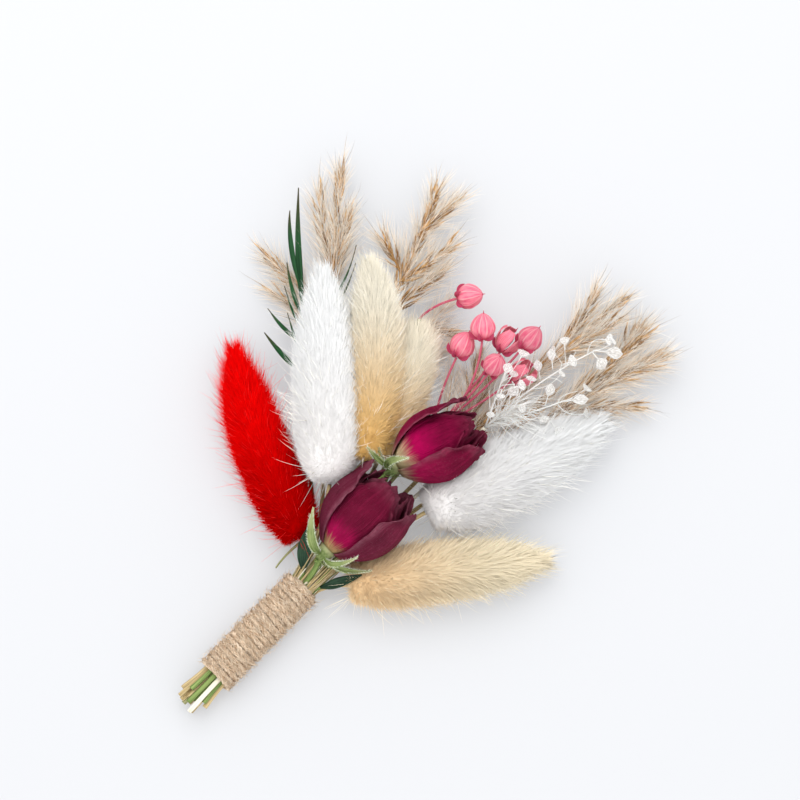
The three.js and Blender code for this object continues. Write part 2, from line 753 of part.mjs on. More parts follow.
function plume(shape, obstacles, seed) {
  const besideTails = (tip) => TAILS.every((tail) => nearTail(tail, tip) > PLUME_APART);
  const isFree = (tip) => tip.z > LOWEST - PRESSED && isClear(tip, obstacles) && besideTails(tip);
  const sideBranches = shape.branches.map(([root, tip]) => [root, tip, 1]);
  const branches = [[shape.end, shape.tip, MAIN_FULLNESS], ...sideBranches];
  const parts = [stem(itemRoute(shape), STEM_RADIUS, THIN_STEM_RADIUS)];
  branches.forEach(([root, tip, fullness], b) => {
    const axis = straight(root, tip);
    parts.push(
      spike({
        axis,
        rings: Math.round(axis.getLength() / SPIKELET_SPACING),
        columns: SPIKELET_COLUMNS,
        radius: (t) => BRANCH_RADIUS * mix(fullness, 0.4, t),
        out: (t) => SPIKELET_OUT * fullness * swell(t),
        forward: (t) => SPIKELET_FORWARD * mix(0.7, 1, ease(t, 0, 0.3)),
        heel: BRANCH_RADIUS,
        room: roomBy(isFree),
        seed: seed + b,
      }),
    );
  });
  return joined(parts);
}

// The green grass: a leafy stem behind the left white tail, with its blades and a dry twig.

const GRASS = {
  cell: cell(2, -1.5),
  cutBack: -0.2,
  via: [at(-8.6, 27.4, 3.6), at(-24, 41.6, 4.2), at(-38, 54.4, 5)],
  end: at(-48.6, 64.8, 7.2),
  blades: [
    [at(-47.6, 64.0, 7.0), at(-58.4, 72.6, 9.4), at(-70.3, 85.2, 10.2), 2.6],
    [at(-52.4, 67.8, 8.2), at(-62.4, 73.4, 11.4), at(-67.4, 79.6, 12.0), 1.5],
    [at(-42.2, 58.4, 6.0), at(-48.6, 57.4, 7.4), at(-54.6, 58.6, 8.4), 1.9],
    [at(-36.8, 53.4, 5.0), at(-43.4, 52.4, 6.4), at(-51.0, 53.8, 8.0), 2.4],
  ],
  twig: [at(-7.6, 26.4, 3.4), at(-9.2, 19.8, 2.4), at(-8.2, 14.2, 2.6)],
};

function grassLeaves() {
  const parts = [stem(itemRoute(GRASS), STEM_RADIUS, FINE_STEM_RADIUS)];
  for (const [root, bow, tip, width] of GRASS.blades) {
    parts.push(blade(bowed(root, bow, tip), width, LEAF_THICKNESS, 0.42, 6));
  }
  parts.push(twig(bowed(...GRASS.twig), FINE_STEM_RADIUS, TWIG_TIP_RADIUS, 3));
  return joined(parts);
}

// Dark leaves that show at the neck, beside the stems.

const NECK_LEAVES = [
  {
    name: "neck_leaf_left",
    cell: cell(5, -1),
    cutBack: 2.4,
    root: at(-2.2, 18.2, 8.1),
    bow: at(-5.6, 21.4, 11.4),
    tip: at(-9.2, 28.4, 13.2),
    width: 5.4,
  },
  {
    name: "neck_leaf_right",
    cell: cell(4, 1.5),
    cutBack: 2.1,
    root: at(3.3, 18.4, 6.9),
    bow: at(5.6, 21.4, 9.4),
    tip: at(8.6, 27.6, 12.4),
    width: 3.8,
  },
];

function neckLeaf(leaf) {
  const route = stemRoute(leaf.cell, leaf.cutBack, leaf.root);
  const face = blade(bowed(leaf.root, leaf.bow, leaf.tip), leaf.width, SEPAL_THICKNESS, 0.5);
  return stem(route, STEM_RADIUS, FINE_STEM_RADIUS).add(face);
}

// The whole bunch.

const boutonniere = new THREE.Group();

function keep(name, solid, colour) {
  const trimmed = solid.boundingBox().min[2] < LOWEST ? solid.subtract(BELOW_FLOOR) : solid;
  boutonniere.add(namedMesh(name, trimmed, colour));
}

// What the locks of the grass heads are kept clear of: every stem, and the two buds. Each is
// a row of sample points, with the reach kept free round them.
const STEM_SAMPLES = 80;
const BUD_SAMPLES = 16;
const STEMS = [...TAILS, ...FLAX_SPRAYS, ...PLUMES, WHITE_SPRAY, GRASS];
const obstaclesBeside = (own) => [
  ...STEMS.filter((item) => item !== own).map((item) => ({
    samples: (item.bow ? tailRoute(item) : itemRoute(item)).getPoints(STEM_SAMPLES),
    reach: () => STEM_RADIUS + STEM_CLEARANCE,
  })),
  ...ROSES.map(({ base, tip, radius }) => ({
    samples: straight(base, tip).getPoints(BUD_SAMPLES),
    reach: (t) => radius * budProfile(t) + BUD_CLEARANCE,
  })),
];
const obstacles = obstaclesBeside(null);

keep("twine_wrap", twineWrap(), COLOUR.jute);
for (const tail of TAILS) {
  keep(tail.name + "_stem", stem(tailRoute(tail), STEM_RADIUS, THIN_STEM_RADIUS), COLOUR.straw);
}
for (const rose of ROSES) {
  keep(rose.name + "_green", roseGreen(rose), COLOUR.greenStem);
  keep(rose.name + "_petals", rosePetals(rose), COLOUR.rose);
}
for (const spray of FLAX_SPRAYS) {
  keep(spray.name, flax(spray), COLOUR.pink);
}
keep("white_spray", whiteSpray(), COLOUR.bleached);
for (const leaf of NECK_LEAVES) {
  keep(leaf.name, neckLeaf(leaf), COLOUR.darkLeaf);
}
keep("grass_leaves", grassLeaves(), COLOUR.leaf);
TAILS.forEach((tail, k) => {
  keep(tail.name, tailHead(tail, obstacles, k + 1), tail.colour);
});
PLUMES.forEach((shape, k) => {
  keep(shape.name, plume(shape, obstaclesBeside(shape), 10 * k + 20), COLOUR.reed);
});

export default boutonniere;
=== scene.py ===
"""The looks of a dried-flower boutonniere that lies on its back, bound with jute twine.

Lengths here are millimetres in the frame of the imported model, and become metres where a mesh is
made. +Y runs along the handle towards the blooms, +X to the right seen from above, and +Z is up.
"""

import logging
import math
from dataclasses import dataclass
from enum import Enum
from functools import cache
from typing import Callable, Sequence

import bmesh
import bpy
import numpy as np
from mathutils import Matrix, Vector, noise


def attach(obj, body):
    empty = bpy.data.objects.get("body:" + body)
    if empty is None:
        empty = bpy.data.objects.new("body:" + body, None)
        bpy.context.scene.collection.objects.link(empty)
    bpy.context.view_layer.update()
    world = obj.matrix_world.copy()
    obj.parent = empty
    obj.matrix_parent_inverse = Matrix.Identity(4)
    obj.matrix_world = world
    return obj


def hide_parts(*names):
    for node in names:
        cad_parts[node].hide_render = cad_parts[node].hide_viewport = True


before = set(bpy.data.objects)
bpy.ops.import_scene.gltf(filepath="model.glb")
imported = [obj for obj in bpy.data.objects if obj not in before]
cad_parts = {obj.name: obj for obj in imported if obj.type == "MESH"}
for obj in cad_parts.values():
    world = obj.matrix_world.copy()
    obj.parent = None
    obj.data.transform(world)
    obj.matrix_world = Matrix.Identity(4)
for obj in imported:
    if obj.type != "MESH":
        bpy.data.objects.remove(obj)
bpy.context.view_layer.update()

LOG = logging.getLogger("boutonniere")
Array = np.ndarray
Draw = np.random.Generator
Shell = bmesh.types.BMesh
Socket = bpy.types.NodeSocket
Number = Array | float
Point = Sequence[float]
Span = tuple[float, float]
Colour = tuple[float, float, float]
Given = Socket | float | Colour  # what a node's input takes

MM = 0.001
UP = np.array([0.0, 0.0, 1.0])
LOWEST = 0.03  # what lies on the table keeps this far above it
GOLDEN_ANGLE = math.pi * (3 - math.sqrt(5))
FULL_TURN = 2 * np.pi
BODY = "root"

# The handle, as the solids have it.
TWINE_DIAMETER = 1.3
TWINE_PITCH = 1.4
TWINE_TURNS = 22
BUNDLE_RADIUS = 3.7
WINDING_RADIUS = BUNDLE_RADIUS + TWINE_DIAMETER / 2
HANDLE_Z = BUNDLE_RADIUS + TWINE_DIAMETER - 0.2
MOUTH_Y = (TWINE_TURNS * TWINE_PITCH + TWINE_DIAMETER) / 2
STEM_RADIUS = 0.6
STEM_PITCH = 1.45
ROW_RISE = STEM_PITCH * math.sqrt(3) / 2
MIDDLE_ROW = 3
CUT_END_Y = -24
SEAT_GAP = 0.3  # between a stem and what it carries
TAIL_HEEL = 0.7  # how far a grass head reaches behind its base


def vec(*xyz: float) -> Array:
    """A point or direction as an array."""
    return np.array(xyz, float)


def unit(v: Array) -> Array:
    """The vectors along the last axis, each of length one."""
    return v / np.maximum(np.linalg.norm(v, axis=-1, keepdims=True), 1e-9)


def mix(a: Number, b: Number, t: Number) -> Number:
    """The value that is the share t of the way from a to b."""
    return a + (b - a) * t


def scaled(ways: Array, by: Number) -> Array:
    """The directions, each times its own length."""
    return ways * np.reshape(by, (-1, 1))


def around(x_way: Array, y_way: Array, turn: Array, reach: Number = 1.0) -> Array:
    """Steps of length reach, at the angle turn between two directions."""
    return scaled(scaled(x_way, np.cos(turn)) + scaled(y_way, np.sin(turn)), reach)


def ease(x: Array, low: float, high: float) -> Array:
    """A smooth step from 0 at low to 1 at high."""
    t = np.clip((x - low) / (high - low), 0, 1)
    return t * t * (3 - 2 * t)


def wavy(points: Array, scale: float, seed: float = 0.0) -> Array:
    """Smooth noise between -1 and 1 at each of the points.

    Args:
        points: places in millimetres, one a row.
        scale: how many waves there are to a millimetre.
        seed: shifts the pattern.
    Returns:
        One value for each place.
    """
    shift = Vector((seed, seed * 0.7, -seed))
    return np.array([noise.noise(Vector(p) * scale + shift) for p in points])


class Route:
    """A smooth path, sampled closely and read by a parameter from 0 to 1."""

    SAMPLES = 24  # for each span between two chosen points

    def __init__(self, samples: Array) -> None:
        """Keeps the samples and the directions between them.

        Args:
            samples: places along the path, evenly spread in its parameter.
        """
        self.samples = samples
        self.share = np.linspace(0, 1, len(samples))
        self.along = unit(np.gradient(samples, axis=0))
        self.length = float(np.linalg.norm(np.diff(samples, axis=0), axis=1).sum())

    @classmethod
    def through(cls, *points: Point) -> "Route":
        """A centripetal Catmull-Rom path through the points, in order.

        Args:
            points: what it runs through.
        Returns:
            The path.
        """
        p = np.array(points, float)
        p = np.vstack([2 * p[0] - p[1], p, 2 * p[-1] - p[-2]])
        t = np.linspace(0, 1, cls.SAMPLES, endpoint=False)[:, None]
        spans = []
        for a, b, c, d in zip(p, p[1:], p[2:], p[3:]):
            before, here, after = (
                max(math.sqrt(np.linalg.norm(y - x)), 1e-4) for x, y in ((a, b), (b, c), (c, d))
            )
            leave = ((b - a) / before - (c - a) / (before + here) + (c - b) / here) * here
            arrive = ((c - b) / here - (d - b) / (here + after) + (d - c) / after) * here
            bend = 2 * b - 2 * c + leave + arrive
            turn = -3 * b + 3 * c - 2 * leave - arrive
            spans.append(b + leave * t + turn * t**2 + bend * t**3)
        return cls(np.vstack([*spans, p[-2:-1]]))

    @classmethod
    def bowed(cls, start: Point, bow: Point, end: Point) -> "Route":
        """A single bow from start to end, pulled towards the point bow.

        Args:
            start: where it starts.
            bow: what it is pulled towards.
            end: where it ends.
        Returns:
            The path.
        """
        t = np.linspace(0, 1, 2 * cls.SAMPLES)[:, None]
        a, b, c = (np.array(x, float) for x in (start, bow, end))
        return cls((1 - t) ** 2 * a + 2 * t * (1 - t) * b + t**2 * c)

    def read(self, values: Array, t: Array) -> Array:
        """The samples' values at t."""
        return np.stack([np.interp(t, self.share, values[:, k]) for k in range(3)], -1)

    def heading(self, t: Array) -> Array:
        """The direction of the path at t."""
        return unit(self.read(self.along, np.clip(np.atleast_1d(t), 0, 1)))

    def frames(self, t: Array) -> tuple[Array, Array, Array, Array]:
        """The place, and the directions along, across and over the path, at t.

        Args:
            t: shares of the path; beyond its ends it goes on in a straight line.
        Returns:
            Places, and three directions at each.
        """
        inside = np.clip(t, 0, 1)
        along = self.heading(t)
        place = self.read(self.samples, inside) + scaled(along, (t - inside) * self.length)
        across = unit(np.cross(along, UP))
        return place, along, across, np.cross(across, along)


def sheet(
    columns: int,
    rows: int,
    place: Callable[[Array, Array], Array],
    thickness: float = 0.0,
    round_shut: bool = False,
) -> Shell:
    """A grid laid over a surface, as a petal, a leaf, a husk or a tube.

    Args:
        columns: how many faces lie across.
        rows: how many lie along.
        place: gives the point for each u across and v along, both from 0 to 1.
        thickness: the wall given to an open sheet.
        round_shut: whether the sheet closes on itself across, and its ends are filled.
    Returns:
        The closed shell, with the grid's own UVs and v kept as each corner's mark.
    """
    bm = bmesh.new()
    uv = bm.loops.layers.uv.new("surface")
    mark = bm.verts.layers.float.new("mark")
    bmesh.ops.create_grid(bm, x_segments=columns, y_segments=rows, size=0.5)
    for face in bm.faces:
        for loop in face.loops:
            loop[uv].uv = loop.vert.co.xy + Vector((0.5, 0.5))
    flat = np.array([corner.co[:2] for corner in bm.verts]) + 0.5
    for corner, point, v in zip(bm.verts, place(flat[:, 0], flat[:, 1]), flat[:, 1]):
        corner.co = Vector(point)
        corner[mark] = v
    if round_shut:
        bmesh.ops.remove_doubles(bm, verts=bm.verts, dist=1e-4)
        rims = [edge for edge in bm.edges if edge.is_boundary]
        bmesh.ops.holes_fill(bm, edges=rims, sides=0)
    if thickness:
        bmesh.ops.recalc_face_normals(bm, faces=bm.faces)
        front = np.array([corner.co[:] for corner in bm.verts])
        bmesh.ops.solidify(bm, geom=bm.faces, thickness=thickness)
        for corner in bm.verts:  # at a sharp crease the back stays as close as elsewhere
            offset = np.array(corner.co[:]) - front
            gaps = np.linalg.norm(offset, axis=1)
            near = gaps.argmin()
            if gaps[near] > 1.5 * thickness:
                corner.co = front[near] + offset[near] * (thickness / gaps[near])
    bmesh.ops.recalc_face_normals(bm, faces=bm.faces)
    return bm


def tube(
    route: Route,
    radius: Span | Callable[[Array], Array],
    sides: int,
    rings: int,
    flatness: float = 1.0,
    end: float = 1.0,
) -> Shell:
    """A round or flattened stalk along a route.

    Args:
        route: its middle line.
        radius: its half width at its start and end, or for each t.
        sides: how many sides it has.
        rings: how many lengths it is divided into.
        flatness: its height as a share of its width.
        end: the share of the route that it covers.
    Returns:
        The closed tube.
    """

    def place(u: Array, v: Array) -> Array:
        """The skin's points.

        Args:
            u: how far across each point is.
            v: how far along.
        Returns:
            The points.
        """
        t = end * v
        centre, _, across, over = route.frames(t)
        half = mix(*radius, t) if isinstance(radius, tuple) else radius(t)
        return centre + around(across, over * flatness, FULL_TURN * u, half)

    return sheet(sides, rings, place, round_shut=True)


def blade(
    route: Route,
    width: float,
    widest: float,
    fold: float,
    thickness: float,
    twist: float,
    rows: int,
) -> Shell:
    """A leaf or sepal that narrows to a point, folded a little along its midrib.

    Args:
        route: its midrib.
        width: its full width.
        widest: where it is widest, as a share of its length.
        fold: how high its edges stand over the midrib, as a share of the width.
        thickness: its wall.
        twist: how far it turns from root to tip, in radians.
        rows: how many lengths it is divided into.
    Returns:
        The closed leaf.
    """

    def place(u: Array, v: Array) -> Array:
        """The leaf's points.

        Args:
            u: how far across each point is.
            v: how far along.
        Returns:
            The points.
        """
        share = np.where(v < widest, v / widest, (1 - v) / (1 - widest))
        half = width / 2 * np.maximum(np.sin(np.pi / 2 * np.clip(share, 0, 1)), 0.05)
        side = 2 * u - 1
        rise = fold * width * side**2 * np.sin(np.pi * np.clip(v, 0.1, 1))
        return folded(route, v, side * half, rise, twist)[0]

    return sheet(6, rows, place, thickness=thickness)


def folded(route: Route, t: Array, x: Array, z: Array, twist: float) -> tuple[Array, Array, Array]:
    """Points beside and over a midrib that twists.

    Args:
        route: the midrib.
        t: where along it each lies.
        x: how far beside it.
        z: how far over it.
        twist: how far it turns from root to tip, in radians.
    Returns:
        The points, and the midrib's directions along and across.
    """
    centre, along, across, over = route.frames(t)
    cos, sin = np.cos(twist * t), np.sin(twist * t)
    place = centre + scaled(across, x * cos - z * sin) + scaled(over, x * sin + z * cos)
    return place, along, across


class Strand:
    """A tapering fibre, shaped once and laid many times."""

    def __init__(self, joints: int, sides: int = 3, belly: float = 0.0) -> None:
        """Shapes the fibre.

        Args:
            joints: how many lengths it bends in.
            sides: how many sides it has.
            belly: 0 where it tapers from its root, more where it swells first.
        """
        bm = bmesh.new()
        bmesh.ops.create_circle(bm, cap_ends=True, segments=sides, radius=1.0)
        top = bm.faces[:][0]
        for joint in range(1, joints):
            grown = bmesh.ops.extrude_face_region(bm, geom=[top])["geom"]
            top = next(item for item in grown if isinstance(item, bmesh.types.BMFace))
            h = joint / joints
            wanted = (1 - h) ** 0.6 * (1 + belly * math.sin(math.pi * h))
            for corner in top.verts:
                corner.co = Vector((*(corner.co.xy.normalized() * wanted), h))
        peak = bmesh.ops.poke(bm, faces=[top])["verts"][0]
        peak.co = Vector((0, 0, 1))
        bmesh.ops.recalc_face_normals(bm, faces=bm.faces)
        bmesh.ops.triangulate(bm, faces=bm.faces)
        bm.verts.index_update()
        self.offsets = np.array([corner.co[:] for corner in bm.verts])
        self.faces = np.array([[corner.index for corner in face.verts] for face in bm.faces])
        bm.free()

    def lay(
        self,
        pile: "Pile",
        roots: Array,
        bows: Array,
        tips: Array,
        radii: Array,
        tones: Array,
        marks: Array,
        flatness: float = 1.0,
        leans: Array | None = None,
    ) -> None:
        """Lays one fibre for each root, along the bow from its root to its tip.

        Args:
            pile: takes the fibres.
            roots: where they start.
            bows: the points that they are pulled towards.
            tips: where they end.
            radii: how thick each is.
            tones: the tint of each, from 0 to 1.
            marks: where on its head each stands, from 0 to 1.
            flatness: their thickness as a share of their width.
            leans: the way that the coat faces at each, as long as they take its shading.
        """
        each, h = len(self.offsets), self.offsets[:, 2][None, :, None]
        a, b, c = roots[:, None], bows[:, None], tips[:, None]
        centre = (1 - h) ** 2 * a + 2 * h * (1 - h) * b + h**2 * c
        along = unit((1 - h) * (b - a) + h * (c - b) + 1e-6)
        sideways = unit(np.cross(along, vec(0.31, 0.22, 0.92)))
        other = np.cross(along, sideways) * flatness
        x, y = (self.offsets[:, k][None, :, None] * radii[:, None, None] for k in (0, 1))
        corners = (centre + sideways * x + other * y).reshape(-1, 3)
        steps = (np.arange(len(roots)) * each)[:, None, None]
        faces = (self.faces[None] + steps).reshape(-1, 3)
        heights = self.offsets[:, 2][self.faces].ravel()
        uvs = np.stack([np.repeat(tones, heights.size), np.tile(heights, len(roots))], -1)
        faced = None if leans is None else np.repeat(leans, each, 0)
        pile.add(corners, faces, uvs, np.repeat(tones, each), np.repeat(marks, each), faced)


class Pile:
    """The shells of one piece, gathered until its mesh is made."""

    def __init__(self) -> None:
        """Starts empty, with its first finish in hand."""
        self.parts: list[tuple[Array, ...]] = []
        self.count = 0
        self.finish = 0

    def add(
        self,
        corners: Array,
        faces: Array,
        uvs: Array,
        tones: Array,
        marks: Array,
        leans: Array | None = None,
    ) -> None:
        """Adds closed shells in the finish in hand.

        Args:
            corners: their points, in millimetres.
            faces: three corners a row.
            uvs: one for each corner of each face.
            tones: a tint for each corner.
            marks: a place along the piece for each corner.
            leans: the way that a soft coat faces at each corner, as long as it counts.
        """
        corners = corners.copy()
        corners[:, 2] = np.maximum(corners[:, 2], LOWEST)
        finishes = np.full(len(faces), self.finish)
        leans = np.zeros_like(corners) if leans is None else leans
        self.parts.append((corners, faces + self.count, uvs, tones, marks, finishes, leans))
        self.count += len(corners)

    def take(self, bm: Shell, tone: float, mark: float | None = None) -> None:
        """Adds a shell made with bmesh, and frees it.

        Args:
            bm: the shell.
            tone: its tint.
            mark: one mark for all of it, in place of its own.
        """
        bmesh.ops.triangulate(bm, faces=bm.faces)
        bm.verts.index_update()
        uv = bm.loops.layers.uv.active
        own = bm.verts.layers.float["mark"]
        corners = np.array([corner.co[:] for corner in bm.verts])
        faces = np.array([[corner.index for corner in face.verts] for face in bm.faces])
        uvs = np.array([loop[uv].uv[:] for face in bm.faces for loop in face.loops])
        marks = np.array([corner[own] if mark is None else mark for corner in bm.verts])
        bm.free()
        self.add(corners, faces, uvs, np.full(len(corners), tone), marks)

    def piece(self, name: str, slot: str, nodes: Sequence[str], *finishes: "Finish") -> None:
        """Makes the mesh, dresses it and puts it in the place of its solids.

        Args:
            name: the piece's name.
            slot: the record's material slot; not used.
            nodes: the solids that it stands for.
            finishes: what covers it.
        """
        parts = (np.concatenate(x) for x in zip(*self.parts))
        corners, faces, uvs, tones, marks, chosen, leans = parts
        mesh = bpy.data.meshes.new(name)
        mesh.vertices.add(len(corners))
        mesh.vertices.foreach_set("co", (corners * MM).astype(np.float32).ravel())
        mesh.loops.add(faces.size)
        mesh.loops.foreach_set("vertex_index", faces.astype(np.int32).ravel())
        mesh.polygons.add(len(faces))
        mesh.polygons.foreach_set("loop_start", np.arange(0, faces.size, 3, dtype=np.int32))
        mesh.polygons.foreach_set("use_smooth", np.ones(len(faces), bool))
        mesh.polygons.foreach_set("material_index", chosen.astype(np.int32))
        mesh.uv_layers.new(name="surface")
        mesh.uv_layers[0].data.foreach_set("uv", uvs.astype(np.float32).ravel())
        for label, values in (("tone", tones), ("mark", marks)):
            attribute = mesh.attributes.new(label, "FLOAT", "POINT")
            attribute.data.foreach_set("value", values.astype(np.float32))
        mesh.update(calc_edges=True)
        mesh.validate()
        if leans.any():
            own = np.empty(leans.size, np.float32)
            mesh.vertex_normals.foreach_get("vector", own)
            share = np.linalg.norm(leans, axis=1, keepdims=True)
            faced = unit(own.reshape(-1, 3) * (1 - share) + leans)
            mesh.normals_split_custom_set_from_vertices(faced.tolist())
        for finish in finishes:
            mesh.materials.append(finish.material())
        made = placed(name, mesh)
        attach(made, BODY)
        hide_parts(*nodes)
        LOG.info("%s: %d faces, for %s", name, len(faces), ", ".join(nodes) or "no solid")


def placed(name: str, data: bpy.types.ID) -> bpy.types.Object:
    """A new object in the scene, at the origin.

    Args:
        name: its name.
        data: its mesh, light or camera.
    Returns:
        The object.
    """
    made = bpy.data.objects.new(name, data)
    bpy.context.scene.collection.objects.link(made)
    return made


class Bench:
    """Adds shader nodes to one tree and links them."""

    def __init__(self, tree: bpy.types.NodeTree) -> None:
        """Works in the given tree."""
        self.tree = tree

    def node(self, kind: str, inputs: dict | None = None, **settings: object) -> bpy.types.Node:
        """Adds a node.

        Args:
            kind: its Blender name without ShaderNode.
            inputs: a value, a colour or another node's output for each input that is set.
            settings: its properties.
        Returns:
            The node.
        """
        made = self.tree.nodes.new("ShaderNode" + kind)
        for key, value in settings.items():
            setattr(made, key, value)
        for key, value in (inputs or {}).items():
            socket = made.inputs[key]
            if isinstance(value, Socket):
                self.tree.links.new(value, socket)
            else:
                socket.default_value = (*value, 1.0) if socket.type == "RGBA" else value
        return made

    def blend(self, share: Given, a: Given, b: Given) -> Socket:
        """The colour that is the share of the way from a to b."""
        return self.node("Mix", {0: share, 6: a, 7: b}, data_type="RGBA").outputs[2]

    def sum(self, operation: str, *values: Given) -> Socket:
        """One step of arithmetic."""
        return self.node("Math", dict(enumerate(values)), operation=operation).outputs[0]

    def times(self, a: Given, b: Given) -> Socket:
        """The product."""
        return self.sum("MULTIPLY", a, b)

    def line(self, value: Given, slope: Given, start: Given) -> Socket:
        """The value times the slope, plus the start."""
        return self.sum("MULTIPLY_ADD", value, slope, start)

    def ramp(self, value: Given, low: float, high: float) -> Socket:
        """The value as a smooth share between low and high."""
        inputs = {"Value": value, "From Min": low, "From Max": high}
        return self.node("MapRange", inputs, interpolation_type="SMOOTHSTEP").outputs[0]

    def shade(self, colour: Given, strength: Given) -> Socket:
        """The colour times the strength."""
        inputs = {0: colour, "Scale": strength}
        return self.node("VectorMath", inputs, operation="SCALE").outputs[0]

    def attribute(self, name: str) -> Socket:
        """The piece's own tone or mark."""
        return self.node("Attribute", attribute_name=name).outputs["Fac"]

    def surface(self) -> tuple[Socket, Socket]:
        """How far across and along its own fibre, leaf or stalk a point is."""
        parts = self.node("SeparateXYZ", {0: self.node("UVMap", uv_map="surface").outputs["UV"]})
        return parts.outputs["X"], parts.outputs["Y"]

    def noise(self, place: Socket, scale: float, detail: float) -> Socket:
        """Smooth noise at a place."""
        inputs = {"Vector": place, "Scale": scale, "Detail": detail}
        return self.node("TexNoise", inputs).outputs["Fac"]

    def grain(self, lines: float, breaks: float) -> Socket:
        """Fine lines along a stalk, leaf or petal, as a mask."""
        inputs = {"Lines": lines, "Breaks": breaks}
        return self.node("Group", inputs, node_tree=plant_grain()).outputs[0]

    def bump(self, height: Socket, distance: float, strength: float) -> Socket:
        """The normals of a surface with this relief."""
        inputs = {"Height": height, "Distance": distance, "Strength": strength}
        return self.node("Bump", inputs).outputs[0]

    def body(
        self,
        colour: Given,
        roughness: float,
        gloss: float,
        through: float,
        inputs: dict | None = None,
    ) -> Socket:
        """A surface that lets part of the light through.

        Args:
            colour: its colour, and that of the light that comes through.
            roughness: how dull it is.
            gloss: its specular level.
            through: the share of the light that comes through.
            inputs: what else the shader is given.
        Returns:
            The shader.
        """
        own = {"Base Color": colour, "Roughness": roughness, "Specular IOR Level": gloss}
        shader = self.node("BsdfPrincipled", own | (inputs or {})).outputs[0]
        if not through:
            return shader
        light = self.node("BsdfTranslucent", {"Color": colour}).outputs[0]
        return self.node("MixShader", {0: through, 1: shader, 2: light}).outputs[0]


def new_group(
    name: str, inputs: dict[str, str], output: str, build: Callable[..., Socket]
) -> bpy.types.NodeTree:
    """A shader node group.

    Args:
        name: its name.
        inputs: the kind of each input socket, Color or Float.
        output: the kind of its one output socket.
        build: gives the output, from a bench and the outputs of the group's input node.
    Returns:
        The group.
    """
    made = bpy.data.node_groups.new(name, "ShaderNodeTree")
    for label, kind in inputs.items():
        made.interface.new_socket(label, in_out="INPUT", socket_type="NodeSocket" + kind)
    made.interface.new_socket("Result", in_out="OUTPUT", socket_type="NodeSocket" + output)
    given = made.nodes.new("NodeGroupInput").outputs
    out = made.nodes.new("NodeGroupOutput")
    made.links.new(build(Bench(made), given), out.inputs["Result"])
    return made


@cache
def fibre_tint() -> bpy.types.NodeTree:
    """The colour of one hair in a head: darker at its root as painted shade, and each a little
    different.

    Returns:
        The group.
    """

    def build(bench: Bench, given: bpy.types.NodeOutputs) -> Socket:
        """Adds the group's nodes.

        Args:
            bench: adds them.
            given: the group's inputs.
        Returns:
            The colour.
        """
        share = bench.ramp(bench.attribute("mark"), 0.0, 0.75)
        head = bench.blend(share, given["Foot"], given["Crown"])
        # painted shade: each hair darkens from Root Shade at its root to its full colour three
        # quarters of the way up
        rise = {"Value": bench.surface()[1], "From Max": 0.75, "To Min": given["Root Shade"]}
        centred = bench.sum("SUBTRACT", bench.attribute("tone"), 0.5)
        varied = bench.line(centred, given["Variety"], 1.0)
        return bench.shade(head, bench.times(bench.node("MapRange", rise).outputs[0], varied))

    sockets = {"Foot": "Color", "Crown": "Color", "Root Shade": "Float", "Variety": "Float"}
    return new_group("fibre_tint", sockets, "Color", build)


@cache
def plant_grain() -> bpy.types.NodeTree:
    """Fine lines along a stalk, leaf or petal, as a mask.

    Returns:
        The group.
    """

    def build(bench: Bench, given: bpy.types.NodeOutputs) -> Socket:
        """Adds the group's nodes.

        Args:
            bench: adds them.
            given: the group's inputs.
        Returns:
            The mask.
        """
        x, y = bench.surface()
        across, along = bench.times(x, given["Lines"]), bench.times(y, given["Breaks"])
        own = bench.times(bench.attribute("tone"), 37.0)
        place = bench.node("CombineXYZ", {"X": across, "Y": along, "Z": own}).outputs[0]
        return bench.ramp(bench.noise(place, 1.0, 3.0), 0.3, 0.7)

    return new_group("plant_grain", {"Lines": "Float", "Breaks": "Float"}, "Float", build)


@dataclass(frozen=True)
class Finish:
    """A covering, with its material made at the first use."""

    name: str

    @cache
    def material(self) -> bpy.types.Material:
        """The material of this finish.

        Returns:
            The material.
        """
        made = bpy.data.materials.new(self.name)
        made.use_nodes = True
        made.node_tree.nodes.clear()
        bench = Bench(made.node_tree)
        bench.node("OutputMaterial", {"Surface": self.surface(bench)})
        return made

    def surface(self, bench: Bench) -> Socket:
        """The shader of this finish."""
        raise NotImplementedError


@dataclass(frozen=True)
class FurFinish(Finish):
    """Soft hair that lets light through."""

    foot: Colour
    crown: Colour
    # how dark the painted shade at each hair's root is, against its full colour
    root_shade: float
    variety: float
    through: float = 0.08

    def surface(self, bench: Bench) -> Socket:
        """The shader of this finish.

        Args:
            bench: adds its nodes.
        Returns:
            The shader.
        """
        hues = {"Foot": self.foot, "Crown": self.crown}
        inputs = hues | {"Root Shade": self.root_shade, "Variety": self.variety}
        colour = bench.node("Group", inputs, node_tree=fibre_tint()).outputs[0]
        return bench.body(colour, 0.7, 0.0, self.through)


@dataclass(frozen=True)
class StalkFinish(Finish):
    """A dried stalk or leaf with lines along it."""

    pale: Colour
    dark: Colour
    lines: float
    breaks: float
    end: Colour | None = None
    roughness: float = 0.6
    through: float = 0.0
    relief: float = 0.3
    sheer: float = 0.0  # how far it can be seen through between its lines

    def surface(self, bench: Bench) -> Socket:
        """The shader of this finish.

        Args:
            bench: adds its nodes.
        Returns:
            The shader.
        """
        grain = bench.grain(self.lines, self.breaks)
        colour = bench.blend(grain, self.dark, self.pale)
        if self.end:
            colour = bench.blend(bench.ramp(bench.surface()[1], 0.6, 1.0), colour, self.end)
        colour = bench.shade(colour, bench.line(bench.attribute("tone"), 0.5, 0.75))
        inputs = {"Normal": bench.bump(grain, 0.0002, self.relief)}
        if self.sheer:
            inputs["Alpha"] = bench.line(grain, self.sheer, 0.92 - self.sheer)
        return bench.body(colour, self.roughness, 0.15, self.through, inputs)


def fibre(name: str, pale: Colour, dark: Colour, **more: float) -> StalkFinish:
    """A single awn, hair or thread: too thin for more than a change of tint."""
    return StalkFinish(name, pale, dark, 2.0, 1.0, **more)


